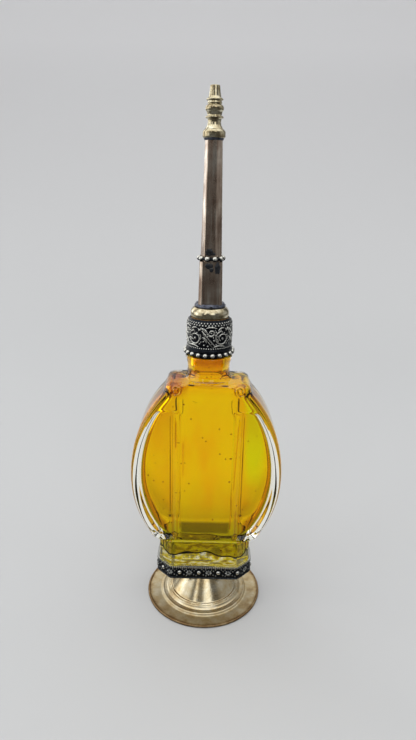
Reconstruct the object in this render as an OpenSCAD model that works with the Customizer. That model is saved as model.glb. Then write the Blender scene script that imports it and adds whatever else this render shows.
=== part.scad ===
// Rosewater sprinkler: a moulded glass flask on a spun metal foot,
// with a long faceted spout that screws into an embossed neck collar.
// Millimetres, +Z up, origin at the centre of the foot's underside.
// The broad front of the flask faces -Y.

/* [Foot] */
// Radius of the spun foot at its rim
foot_r = 33.9; // [31:0.1:38]
// Height of the foot up to the tray
foot_h = 17.5; // [15:0.1:22]
// Thickness of the spun sheet
foot_sheet = 0.9; // [0.7:0.05:1.2]
// Radius of the rolled rim
foot_roll_r = 0.8; // [0.6:0.05:1]
// Radius of the raised step on the brim
foot_step_r = 25.5; // [24:0.1:28]
// Radius at which the cone starts
foot_cone_r = 19.3; // [16:0.1:20]
// Radius of the flat top of the cone
foot_top_r = 10; // [8:0.1:11]
// Thickness of the solder under the tray
solder_t = 0.3; // [0.2:0.05:0.6]

/* [Base tray and band] */
// Half width of the band, along X
band_hw = 27.5; // [26:0.1:30]
// Half depth of the band, along Y
band_hd = 14.3; // [13.8:0.1:16]
// Length of each cut corner, along X and Y
band_cut = 8; // [6:0.1:9]
// Rounding of the band's corners
band_soft = 4; // [3:0.1:5]
// Height of the band
band_h = 8.4; // [7:0.1:10]
// Thickness of the band's sheet
band_sheet = 0.9; // [0.6:0.05:1.2]
// Thickness of the tray's floor
tray_sheet = 0.7; // [0.5:0.05:1]
// Number of studs round the band, rosettes and domes in turn
stud_count = 26; // [20:2:30]
// Radius of a domed stud
stud_r = 1.1; // [0.8:0.05:1.3]
// Thickness of the bedding cement
cement_t = 0.4; // [0.3:0.05:0.8]

/* [Flask] */
// Half width of the oval body
oval_hw = 41.6; // [39:0.1:46]
// Height of the oval's widest line
oval_z = 82.7; // [79:0.1:88]
// Oval's reach above its widest line
oval_up = 60; // [57:0.1:64]
// Oval's reach below its widest line
oval_low = 53.5; // [50:0.1:56]
// Half depth of the body
flask_hd = 12.8; // [12:0.1:13.2]
// Distance of the base block behind the outside of the band
block_in = 2.4; // [2:0.1:3.2]
// Distance of the base block's ends inside the outside of the band
block_side = 1.3; // [1.3:0.1:3]
// Height of the base flange inside the band
flange_h = 6; // [4:0.1:7]
// Height of the top of the shoulders
shoulder_z = 138.3; // [134:0.1:141]
// Half width of the shoulders
shoulder_hw = 22.7; // [20:0.1:25]
// Width of the raised rim along the oval
rim_w = 4.2; // [3.4:0.1:6]
// Half width of the raised middle panel
panel_hw = 15.2; // [13:0.1:17]
// Width of the slope from the panel to the sunken wing
slope_w = 4.2; // [3:0.1:5]
// Depth of the sunken wings
wing_sink = 2.2; // [1:0.1:2.6]
// Radius of the scroll discs on the shoulders
scroll_r = 3.3; // [2.6:0.1:3.8]
// Distance of a scroll's centre from the middle
scroll_x = 16.9; // [15:0.1:18]
// Wall at the sides of the cavity
side_wall = 3.6; // [3:0.1:6]
// Half depth of the cavity
cavity_hd = 8; // [6:0.1:8.2]
// Height of the cavity's floor
cavity_z = 30; // [27:0.1:36]

/* [Neck and collar] */
// Radius of the neck's waist
neck_r = 11.05; // [10.2:0.05:11.8]
// Height of the neck's waist above the shoulders
waist_up = 6.2; // [4.5:0.1:7.5]
// Radius of the glass inside the collar
finish_r = 10; // [9:0.1:10.2]
// Radius of the neck's bore
mouth_r = 7; // [6.9:0.05:7.6]
// Radius of the ledge under the collar
ledge_r = 12.4; // [11.9:0.1:13]
// Height above the shoulders of the glass ledge that the collar stands on
ledge_up = 13.4; // [12:0.1:15]
// Height of the rim band that carries the beads
rim_h = 3.8; // [3:0.1:4.5]
// Outer radius of the rim band
rim_r = 12; // [11.7:0.05:12.4]
// Number of beads on the collar
collar_bead_count = 21; // [18:1:24]
// Radius of a collar bead
collar_bead_r = 1.3; // [1:0.05:1.4]
// Outer radius of the embossed sleeve
sleeve_r = 11.6; // [11.3:0.05:12]
// Height of the embossed sleeve
sleeve_h = 16.1; // [14:0.1:18]
// Radius of the sleeve's bore
sleeve_bore_r = 10.7; // [10.5:0.05:10.8]

/* [Screw joint] */
// Pitch of the thread
pitch = 2; // [1.8:0.1:2.2]
// Root radius of the spout's thread
root_r = 6.4; // [6:0.05:6.5]
// Height of the thread's ridge
ridge_h = 0.7; // [0.5:0.05:0.8]
// Running clearance of the thread
thread_gap = 0.2; // [0.15:0.01:0.25]
// Length of the spout's threaded stub
stub_l = 8.6; // [7:0.1:9]
// Bore through the stub and the cap
channel_r = 4.4; // [3.6:0.1:4.8]
// Thickness of the seal washer
washer_t = 0.8; // [0.6:0.05:1.2]

/* [Spout] */
// Largest radius of the domed cap
cap_r = 10; // [9.6:0.05:10.4]
// Height of the domed cap
cap_h = 5.2; // [4.5:0.1:6.5]
// Radius of the plate on the cap
plate_r = 8.05; // [7.8:0.05:8.6]
// Thickness of the plate
plate_t = 1.3; // [1:0.1:2]
// Half width of the square sleeve at its foot
square_low = 6.1; // [5.8:0.05:6.3]
// Half width of the square sleeve at its top
square_top = 5.75; // [5.5:0.05:5.9]
// Cut corner of the square sleeve
square_cut = 1.7; // [1.2:0.1:2.2]
// Length of the square sleeve
square_l = 22; // [18:0.1:26]
// Thickness of the spout's folded sheet
stem_sheet = 0.6; // [0.4:0.05:0.8]
// Number of beads on the ring round the stem
ring_bead_count = 10; // [8:1:12]
// Radius of a bead of that ring
ring_bead_r = 1.35; // [1.2:0.05:1.5]
// Radius of that ring at the beads' centres
ring_r = 5.9; // [5.7:0.05:6.1]
// Corner radius of the six-sided tube at its foot
hex_low = 5.6; // [5.4:0.05:5.8]
// Corner radius of the six-sided tube at its top
hex_top = 4.35; // [4.2:0.05:4.8]
// Length of the six-sided tube
hex_l = 57.2; // [40:0.1:70]
// Turn of the six-sided tube about the axis
hex_turn = -10.5; // [-30:0.5:30]
// Length of the nozzle above the tube
nozzle_l = 22.5; // [20:0.1:26]
// Radius of the nozzle's base ring
nozzle_base_r = 5.45; // [5.2:0.05:5.8]
// Radius of the nozzle's mouth
nozzle_tip_r = 2.27; // [2:0.01:2.6]
// Height of the nozzle's lower ring
low_ring_z = 8.9; // [8:0.1:9.4]
// Height of the nozzle's ball
ball_z = 12.7; // [12.4:0.1:13]
// Height of the nozzle's upper ring
top_ring_z = 16.5; // [16.3:0.1:17.5]
// Radius of the hole in the nozzle's mouth
spray_r = 1.2; // [0.8:0.05:1.5]

/* [Hidden] */

$fn = 64;
// Room between pieces that are seated on each other without solder
seat_gap = 0.05;
// Overshoot of cutting shapes past the faces they cut
past = 1;

// Heights, from the table up
tray_z = foot_h + solder_t;
bed_z = tray_z + tray_sheet;
flask_z = bed_z + cement_t;
waist_z = shoulder_z + waist_up;
ledge_z = shoulder_z + ledge_up;
collar_z = ledge_z + seat_gap;
sleeve_z = collar_z + rim_h;
sleeve_top_z = sleeve_z + sleeve_h;
lip_t = 0.7;
insert_top_z = sleeve_top_z - lip_t;
insert_l = 8.6;
insert_z = insert_top_z - insert_l;
mouth_z = insert_z - seat_gap;
washer_z = insert_top_z + seat_gap;
cap_z = washer_z + washer_t + seat_gap;
plate_z = cap_z + cap_h;
square_z = plate_z + plate_t;
hex_z = square_z + square_l;
ring_z = hex_z + ring_bead_r;
nozzle_z = hex_z + hex_l;

// Foot
roll_sink = 0.1;
brim_z = 1.1;
step_rise = 1;
ridge_z = 4.1;
cone_z = 4.4;

// Thread
insert_r = sleeve_bore_r - seat_gap;
crest_r = root_r + ridge_h;
ridge_base_w = 0.62 * pitch;
ridge_crest_w = 0.24 * pitch;
insert_bore_r = root_r + thread_gap;
insert_skirt_l = 4.8;
insert_skirt_wall = 0.8;
ridge_start = 0.1;
ridge_runout = 0.6;
ridge_z0 = cap_z - stub_l + ridge_base_w / 2 + ridge_start;
ridge_turns = (stub_l - ridge_base_w - ridge_runout) / pitch;

function reversed(list) = [for (i = [len(list) - 1:-1:0]) list[i]];
function mean(list) = list[0] * 0.5 + list[1] * 0.5;

// A convex outline, counter-clockwise, with its corners rounded
function soften(p, r, steps = 5) =
    let (n = len(p))
    [for (i = [0:n - 1])
        let (a = p[(i + n - 1) % n], b = p[i], c = p[(i + 1) % n],
             u = (a - b) / norm(a - b), v = (c - b) / norm(c - b),
             half = acos(u * v) / 2,
             centre = b + (u + v) / norm(u + v) * r / sin(half),
             first = b + u * r / tan(half) - centre,
             a0 = atan2(first[1], first[0]), turn = 180 - 2 * half)
        for (k = [0:steps]) centre + r * [cos(a0 + turn * k / steps), sin(a0 + turn * k / steps)]];

// A rectangle with its corners cut off, drawn in evenly by t, starting at the front's right end
function octagon(hw, hd, cut, t = 0) =
    let (x = hw - cut - t * (sqrt(2) - 1), y = hd - cut - t * (sqrt(2) - 1), w = hw - t, d = hd - t)
    [[x, -d], [w, -y], [w, y], [x, d], [-x, d], [-w, y], [-w, -y], [-x, -d]];

function band_plan(t) = soften(octagon(band_hw, band_hd, band_cut, t), max(band_soft - t, 0.4));

// The oval in the XZ plane, drawn in by t: two half ellipses of different height, cut off level with
// the shoulders
oval_steps = 88;
function oval_point(a, t) =
    [(oval_hw - t) * cos(a), min(oval_z + ((sin(a) > 0 ? oval_up : oval_low) - t) * sin(a), shoulder_z - t)];
function oval(t) = [for (i = [0:oval_steps - 1]) oval_point(360 * i / oval_steps, t)];

// One sunken wing: the oval beyond the middle panel, under the shoulder
wing_drop = 14.5;
wing_top_z = shoulder_z - wing_drop;
wing_steps = 26;
function wing(x, t, z) =
    let (low = -acos(x / (oval_hw - t)),
         high = min(asin((z - oval_z) / (oval_up - t)), acos(x / (oval_hw - t))),
         corner = 4)
    concat([for (i = [0:wing_steps]) oval_point(low + (high - low) * i / wing_steps, t)],
           [[x + corner / 2, z], [x, z - corner]]);

// The shoulder block in the XZ plane, drawn in by t, with round top corners
shoulder_soft = 4.4;
shoulder_h = 14;
shoulder_foot_z = shoulder_z - shoulder_h;
function shoulder(t) =
    let (x = shoulder_hw - t, z = shoulder_z - t, r = max(shoulder_soft - t, 0.6))
    concat([[-x, shoulder_foot_z], [x, shoulder_foot_z]],
           [for (a = [0:15:90]) [x - r + r * cos(a), z - r + r * sin(a)]],
           [for (a = [90:15:180]) [-x + r + r * cos(a), z - r + r * sin(a)]]);

// The base block in plan, drawn in by t
block_cut = 7.2;
function block_plan(t) =
    soften(octagon(band_hw - block_side, band_hd - block_in, block_cut, t), max(band_soft - t, 2.4));

// A slab of the XZ outline that reaches hd each way along Y
module slab(outline, hd) {
    rotate([90, 0, 0]) translate([0, 0, -hd]) linear_extrude(height = 2 * hd) polygon(outline);
}

// A ridge of four-sided section that winds up the axis from turn t0 to turn t1
thread_steps = 32;
module helix(r_in, r_out, w_in, w_out, t0, t1) {
    n = ceil((t1 - t0) * thread_steps);
    section = [[r_in, -w_in / 2], [r_out, -w_out / 2], [r_out, w_out / 2], [r_in, w_in / 2]];
    points = [for (i = [0:n]) let (t = t0 + (t1 - t0) * i / n) for (s = section)
        [s[0] * cos(360 * t), s[0] * sin(360 * t), ridge_z0 + pitch * t + s[1]]];
    sides = [for (i = [0:n - 1], j = [0:3])
        let (a = 4 * i + j, b = 4 * i + (j + 1) % 4, c = b + 4, d = a + 4)
        each [[a, b, c], [a, c, d]]];
    ends = [[3, 2, 1], [3, 1, 0], [4 * n, 4 * n + 1, 4 * n + 2], [4 * n, 4 * n + 2, 4 * n + 3]];
    polyhedron(points = points, faces = concat(sides, ends));
}

// Spun foot: a flat brim, a raised step, a ridge, a cone and a closed top
module foot_shell() {
    top = [[foot_r - foot_roll_r, brim_z + 0.1],
           [foot_step_r + 0.6, brim_z],
           [foot_step_r, brim_z + 0.1],
           [foot_step_r - 0.7, brim_z + step_rise * 0.8],
           [foot_step_r - 1.5, brim_z + step_rise],
           [foot_step_r - 2.4, brim_z + step_rise],
           [mean([foot_step_r - 2.4, foot_cone_r + 1.4]), brim_z + step_rise + 0.5],
           [foot_cone_r + 1.4, ridge_z - 0.7],
           [foot_cone_r + 1, ridge_z - 0.1],
           [foot_cone_r + 0.5, ridge_z],
           [foot_cone_r, cone_z],
           [foot_top_r, foot_h],
           [0, foot_h]];
    under = [for (p = top) [p[0] == 0 ? 0 : max(p[0] - foot_sheet / 2, 0), p[1] - foot_sheet]];
    color("#b3a586") {
        rotate_extrude($fn = 96) polygon(concat(top, reversed(under)));
        difference() {
            translate([0, 0, foot_roll_r - roll_sink])
                rotate_extrude($fn = 96) translate([foot_r - foot_roll_r, 0]) circle(r = foot_roll_r, $fn = 24);
            translate([0, 0, -past]) cylinder(r = foot_r + past, h = past);
        }
    }
}

// Solder between the foot's top and the tray, with its fillet
module foot_solder() {
    fillet = 1.2;
    color("#5a5650") rotate_extrude()
        polygon([[0, foot_h], [foot_top_r, foot_h], [foot_top_r + fillet, tray_z], [0, tray_z]]);
}

// Flat tray that the flask stands in
module base_tray() {
    color("#8f866c") translate([0, 0, tray_z]) linear_extrude(height = tray_sheet)
        polygon(band_plan(band_sheet));
}

// The point and heading at distance s along the band's outline
stud_path = concat([[0, -band_hd]], octagon(band_hw, band_hd, band_cut));
stud_sides = [for (i = [0:len(stud_path) - 1]) norm(stud_path[(i + 1) % len(stud_path)] - stud_path[i])];
stud_loop = stud_sides * [for (s = stud_sides) 1];
function along(s, i = 0) =
    s <= stud_sides[i]
    ? let (a = stud_path[i], b = stud_path[(i + 1) % len(stud_path)])
      [a + (b - a) * s / stud_sides[i], atan2(b[1] - a[1], b[0] - a[0])]
    : along(s - stud_sides[i], i + 1);

// Embossed band round the tray and the flask's base
module gallery_band() {
    rosette_r = stud_r * 1.3;
    rosette_proud = 0.35;
    stud_z = tray_z + band_h * 0.53;
    edge_h = 0.8;
    edge_proud = 0.25;
    color("#3c3f42") {
        difference() {
            union() {
                translate([0, 0, tray_z]) linear_extrude(height = band_h) polygon(band_plan(0));
                for (z = [tray_z, tray_z + band_h - edge_h]) translate([0, 0, z])
                    linear_extrude(height = edge_h) polygon(band_plan(-edge_proud));
                for (k = [0:stud_count - 1]) {
                    at = along((k + 0.5) * stud_loop / stud_count);
                    translate([at[0][0], at[0][1], stud_z]) rotate([0, 0, at[1]]) {
                        if (k % 2 == 0)
                            for (turn = [0, 45]) rotate([90, turn, 0])
                                cube([rosette_r * 1.5, rosette_r * 1.5, 2 * rosette_proud], center = true);
                        else
                            translate([0, stud_r * 0.4, 0]) sphere(r = stud_r, $fn = 24);
                    }
                }
            }
            translate([0, 0, tray_z - past]) linear_extrude(height = band_h + 2 * past)
                polygon(band_plan(band_sheet));
        }
    }
}

// Plaster bed under and round the flask's flange
module base_cement() {
    color("#d8d2c2") difference() {
        translate([0, 0, bed_z]) linear_extrude(height = cement_t + flange_h - 0.5)
            polygon(band_plan(band_sheet));
        translate([0, 0, flask_z]) linear_extrude(height = flange_h + past)
            polygon(band_plan(band_sheet + cement_t));
    }
}

// Outside of the flask before its wings are sunk and its cavity is cut
module flask_outside() {
    block_top_z = oval_z - oval_low * 0.72;
    hull() {
        slab(oval(0), flask_hd - 2.6);
        slab(oval(0.8), flask_hd - 0.9);
        slab(oval(2.4), flask_hd);
    }
    hull() {
        slab(shoulder(0), flask_hd - 1.4);
        slab(shoulder(0.4), flask_hd - 0.5);
        slab(shoulder(1.4), flask_hd);
    }
    translate([0, 0, flask_z]) linear_extrude(height = flange_h)
        polygon(band_plan(band_sheet + cement_t));
    translate([0, 0, flask_z + flange_h / 2]) linear_extrude(height = block_top_z - flask_z - flange_h / 2)
        polygon(block_plan(0));
    rotate_extrude() polygon([[0, shoulder_foot_z], [neck_r + 1.7, shoulder_foot_z], [neck_r + 1.7, shoulder_z - 1],
        [neck_r + 1.1, shoulder_z + 0.6], [neck_r + 0.4, shoulder_z + 2.4], [neck_r, waist_z],
        [neck_r + 0.5, waist_z + 2.3], [ledge_r, ledge_z - 1], [ledge_r, ledge_z],
        [finish_r, ledge_z], [finish_r, mouth_z], [0, mouth_z]]);
    for (x = [-scroll_x, scroll_x]) translate([x, 0, shoulder_z - scroll_r - 0.1]) rotate([90, 0, 0]) {
        cylinder(r = scroll_r, h = 2 * flask_hd + 0.8, center = true);
        cylinder(r = scroll_r * 0.4, h = 2 * flask_hd + 1.6, center = true);
    }
}

// Inside of the flask: the chamber, the space in the base block and the neck's bore
module flask_cavity() {
    chamber_top_z = shoulder_z - side_wall;
    funnel_h = 5;
    funnel_r = cavity_hd - 0.4;
    well_cut = 3.2;
    well_soft = 2.4;
    hull() {
        slab(oval(side_wall), cavity_hd * 0.45);
        slab(oval(side_wall + 1.6), cavity_hd * 0.8);
        slab(oval(side_wall + 5.4), cavity_hd);
    }
    slab(shoulder(side_wall), cavity_hd - 1);
    translate([0, 0, cavity_z]) linear_extrude(height = oval_z - oval_low * 0.6 - cavity_z)
        polygon(soften(octagon(band_hw - block_side - side_wall, cavity_hd - 0.6, well_cut), well_soft));
    rotate_extrude() polygon([[0, shoulder_foot_z], [funnel_r, shoulder_foot_z], [funnel_r, chamber_top_z - 2],
        [mouth_r, chamber_top_z - 2 + funnel_h], [mouth_r, mouth_z + past], [0, mouth_z + past]]);
}

// Moulded glass flask
module flask() {
    color("#d9a800", 0.6) difference() {
        flask_outside();
        flask_cavity();
        for (side = [0, 180], face = [0, 1]) rotate([0, 0, side]) mirror([0, face, 0]) hull() {
            translate([0, -flask_hd - past / 2, 0]) slab(wing(panel_hw, rim_w, wing_top_z), past / 2);
            translate([0, -flask_hd + wing_sink, 0])
                slab(wing(panel_hw + slope_w, rim_w + 1, wing_top_z - 1), 0.01);
        }
    }
}

// Cement between the glass finish and the collar
module neck_cement() {
    color("#d8d2c2") translate([0, 0, collar_z]) difference() {
        cylinder(r = sleeve_bore_r, h = mouth_z - collar_z);
        translate([0, 0, -past]) cylinder(r = finish_r, h = mouth_z - collar_z + 2 * past);
    }
}

// Threaded bush that stands on the glass mouth inside the collar
module neck_insert() {
    color("#b08d4a") difference() {
        union() {
            translate([0, 0, insert_z]) cylinder(r = insert_r, h = insert_l);
            translate([0, 0, insert_z - insert_skirt_l])
                cylinder(r = mouth_r - 2 * seat_gap, h = insert_skirt_l + insert_l / 2);
        }
        translate([0, 0, insert_z]) cylinder(r = insert_bore_r, h = insert_l + past);
        translate([0, 0, insert_z - insert_skirt_l - past])
            cylinder(r = mouth_r - 2 * seat_gap - insert_skirt_wall, h = insert_skirt_l + 2 * past);
        helix(insert_bore_r - 0.3, crest_r + thread_gap,
              ridge_base_w + 2 * thread_gap + 0.25, ridge_crest_w + 1.5 * thread_gap,
              -0.1, (insert_top_z - ridge_z0) / pitch + 0.8);
    }
}

// Smooth band round the foot of the collar
module collar_rim() {
    color("#3c3f42") translate([0, 0, collar_z]) difference() {
        cylinder(r = rim_r, h = rim_h);
        translate([0, 0, -past]) cylinder(r = sleeve_bore_r, h = rim_h + 2 * past);
    }
}

// A ring of round beads joined by a wire, cut to sit on a round core
module bead_wire(count, r, bead_r, wire_r) {
    rotate_extrude() translate([r, 0]) circle(r = wire_r, $fn = 24);
    for (i = [0:count - 1]) rotate([0, 0, 360 * (i + 0.5) / count - 90])
        translate([r, 0, 0]) sphere(r = bead_r, $fn = 24);
}

// Beaded wire round the rim band
module collar_beads() {
    color("#8d8f8e") difference() {
        translate([0, 0, collar_z + rim_h * 0.5])
            bead_wire(collar_bead_count, rim_r + collar_bead_r * 0.3, collar_bead_r, collar_bead_r * 0.6);
        translate([0, 0, collar_z - past]) cylinder(r = rim_r, h = rim_h + 2 * past);
    }
}

// Embossed sleeve of the collar, with a rolled-in top edge
module collar_sleeve() {
    mouth = sleeve_bore_r - 0.7;
    color("#4a4c4e") translate([0, 0, sleeve_z]) rotate_extrude() polygon([
        [sleeve_bore_r, 0], [rim_r, 0], [rim_r, 0.3], [sleeve_r + 0.1, 0.8], [sleeve_r - 0.2, 1.8],
        [sleeve_r + 0.15, sleeve_h * 0.53], [sleeve_r - 0.1, sleeve_h - 2], [sleeve_r - 0.4, sleeve_h - 1],
        [mouth + 0.5, sleeve_h], [mouth, sleeve_h], [mouth, sleeve_h - lip_t],
        [sleeve_bore_r, sleeve_h - lip_t]]);
}

// Cork washer under the cap
module seal_washer() {
    color("#a9814e") translate([0, 0, washer_z]) difference() {
        cylinder(r = cap_r - 0.6, h = washer_t);
        translate([0, 0, -past]) cylinder(r = crest_r + 0.2, h = washer_t + 2 * past);
    }
}

// Turned cap with the threaded stub under it
module cap_dome() {
    color("#b9a877") {
        translate([0, 0, cap_z]) rotate_extrude() polygon([
            [channel_r, -stub_l], [root_r, -stub_l], [root_r, 0], [cap_r - 0.35, 0], [cap_r - 0.1, 0.7],
            [cap_r, cap_h * 0.42], [cap_r - 0.15, cap_h * 0.6], [cap_r - 0.6, cap_h * 0.78],
            [plate_r + 0.5, cap_h * 0.94], [plate_r, cap_h], [channel_r, cap_h]]);
        helix(root_r - 0.3, crest_r, ridge_base_w + 0.25, ridge_crest_w, 0, ridge_turns);
    }
}

// Plate on the cap, a little dished, that carries the stem
module cap_plate() {
    color("#8f8a78") translate([0, 0, plate_z]) rotate_extrude() polygon([
        [channel_r, 0], [plate_r - 0.2, 0], [plate_r, 0.3], [plate_r, plate_t - 0.3],
        [plate_r - 0.25, plate_t], [channel_r, plate_t]]);
}

// A square bar with cut corners that narrows upwards
module square_bar(low, top, h) {
    linear_extrude(height = h, scale = top / low) polygon(octagon(low, low, square_cut));
}

// Lower sleeve of the stem, folded from sheet, with a closed top
module stem_sleeve() {
    color("#8a857c") translate([0, 0, square_z]) difference() {
        square_bar(square_low, square_top, square_l);
        translate([0, 0, -0.01])
            square_bar(square_low - stem_sheet, square_top - stem_sheet, square_l - 2 * stem_sheet);
        cylinder(r = channel_r - 0.6, h = square_l + past);
    }
}

// Beaded ring round the joint of the stem
module stem_ring() {
    color("#77756d") difference() {
        translate([0, 0, ring_z]) bead_wire(ring_bead_count, ring_r, ring_bead_r, ring_bead_r * 0.6);
        rotate([0, 0, hex_turn]) translate([0, 0, hex_z - past])
            cylinder(r = hex_low + seat_gap, h = 2 * ring_bead_r + 2 * past, $fn = 6);
        translate([0, 0, hex_z - 2 * past]) cylinder(r = ring_r + 2 * ring_bead_r, h = 2 * past);
    }
}

// Six-sided tapered tube, folded from sheet
module stem_tube() {
    color("#8a857c") translate([0, 0, hex_z]) rotate([0, 0, hex_turn]) difference() {
        cylinder(r1 = hex_low, r2 = hex_top, h = hex_l, $fn = 6);
        translate([0, 0, -past])
            cylinder(r1 = hex_low - stem_sheet, r2 = hex_top - stem_sheet, h = hex_l + 2 * past, $fn = 6);
    }
}

// Solder left at the foot of the stem and under the nozzle
module stem_solder() {
    foot_h_max = 0.7;
    neck_h = 1;
    color("#4b4d50") {
        translate([0, 0, square_z]) difference() {
            cylinder(r1 = plate_r - 0.4, r2 = plate_r - 0.8, h = foot_h_max);
            translate([0, 0, -past]) linear_extrude(height = foot_h_max + 2 * past)
                polygon(octagon(square_low, square_low, square_cut));
        }
        translate([0, 0, nozzle_z - neck_h]) difference() {
            cylinder(r1 = hex_top + 0.15, r2 = hex_top + 0.5, h = neck_h);
            rotate([0, 0, hex_turn]) translate([0, 0, -past])
                cylinder(r = hex_top + (hex_low - hex_top) * (neck_h + past) / hex_l, h = neck_h + 2 * past, $fn = 6);
        }
    }
}

// A thin turned ring on the nozzle's shaft, as a profile from z - t to z + t
function thin_ring(z, r, foot, t) =
    [[foot, z - t * 1.6], [r - t * 0.3, z - t], [r, z], [r - t * 0.5, z + t], [foot, z + t * 1.8]];

// Turned nozzle with its rings, and a spigot inside the tube
module nozzle() {
    spigot_r = (hex_top - stem_sheet) * cos(30) - 0.1;
    spigot_l = 3;
    throat_r = spigot_r - 0.8;
    shaft_r = nozzle_tip_r + 0.85;
    base_h = 3.9;
    ring_out_r = nozzle_tip_r + 2.1;
    ring_t = 0.45;
    ball_r = nozzle_tip_r + 2.1;
    ball_h = 1.75;
    mouth_l = 4;
    throat_l = 7;
    ball = [for (a = [-55:13.75:55])
        [shaft_r - 0.3 + (ball_r - shaft_r + 0.3) * cos(a), ball_z + ball_h * sin(a)]];
    color("#bda878") translate([0, 0, nozzle_z]) rotate_extrude() polygon(concat(
        [[throat_r, -spigot_l], [spigot_r, -spigot_l], [spigot_r, 0],
         [nozzle_base_r - 0.3, 0], [nozzle_base_r, 0.5], [nozzle_base_r, base_h - 1.3],
         [nozzle_base_r - 0.4, base_h - 0.6], [shaft_r + 1.3, base_h], [shaft_r + 0.9, base_h + 0.5],
         [shaft_r + 0.2, base_h + 1.7], [shaft_r, base_h + 3]],
        thin_ring(low_ring_z, ring_out_r, shaft_r + 0.2, ring_t),
        ball,
        thin_ring(top_ring_z, ring_out_r - 0.35, shaft_r + 0.1, ring_t * 0.9),
        [[shaft_r - 0.25, top_ring_z + 1.3], [nozzle_tip_r + 0.3, nozzle_l - 2.7],
         [nozzle_tip_r, nozzle_l], [spray_r, nozzle_l], [spray_r, nozzle_l - mouth_l],
         [throat_r, nozzle_l - throat_l]]));
}

foot_shell();
foot_solder();
base_tray();
gallery_band();
base_cement();
flask();
neck_cement();
neck_insert();
collar_rim();
collar_beads();
collar_sleeve();
seal_washer();
cap_dome();
cap_plate();
stem_sleeve();
stem_ring();
stem_tube();
stem_solder();
nozzle();
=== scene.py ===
# %% [markdown]
# # A rosewater sprinkler
# The object is a tall bottle for rosewater: a moulded glass flask on a spun metal foot, a blackened
# collar with embossed scrolls, and a long faceted spout that unscrews. This lesson dresses the packed
# model, piece by piece. Every length is in millimetres until the last moment, when MM turns it to
# metres, because a maker thinks in millimetres and Blender's scene is in metres.

# %% Load the fixed frame
import math

import bmesh
import bpy
import numpy as np
from mathutils import Matrix


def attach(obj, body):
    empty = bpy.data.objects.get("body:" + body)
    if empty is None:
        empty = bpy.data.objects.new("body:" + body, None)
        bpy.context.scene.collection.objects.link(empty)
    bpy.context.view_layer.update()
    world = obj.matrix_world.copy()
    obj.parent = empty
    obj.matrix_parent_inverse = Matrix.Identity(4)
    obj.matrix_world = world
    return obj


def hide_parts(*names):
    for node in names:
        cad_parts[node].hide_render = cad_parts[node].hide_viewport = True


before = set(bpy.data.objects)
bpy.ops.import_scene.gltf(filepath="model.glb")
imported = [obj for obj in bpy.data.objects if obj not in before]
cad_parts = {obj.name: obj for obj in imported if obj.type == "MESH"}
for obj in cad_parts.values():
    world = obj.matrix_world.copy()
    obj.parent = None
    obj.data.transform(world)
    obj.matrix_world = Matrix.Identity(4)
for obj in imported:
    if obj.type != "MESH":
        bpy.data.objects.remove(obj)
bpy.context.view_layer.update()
MM = 0.001

# %% [markdown]
# ## Tools for surfaces
# A turned foot, a folded tube and a moulded flask are all surfaces with two parameters: one runs along
# the profile, the other goes round it. So one function turns any grid of points into a mesh. It could
# be done with Blender's Spin and Screw tools, but a grid from numpy keeps the exact sizes in view and
# allows relief to be added to the same points.

# %% A grid of points becomes a closed mesh
def grid_faces(rows, cols, wrap_rows, wrap_cols, first=0):
    """Four-sided faces of a grid of rows x cols points: face (i, j) joins point (i, j) with its
    neighbours in the next column and the next row, and wraps where the surface closes on itself."""
    i = np.arange(rows if wrap_rows else rows - 1)[:, None]
    j = np.arange(cols if wrap_cols else cols - 1)[None, :]
    a, b = i * cols + j, i * cols + (j + 1) % cols
    d, c = (i + 1) % rows * cols + j, (i + 1) % rows * cols + (j + 1) % cols
    return np.stack([a, b, c, d], -1).reshape(-1, 4) + first


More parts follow.
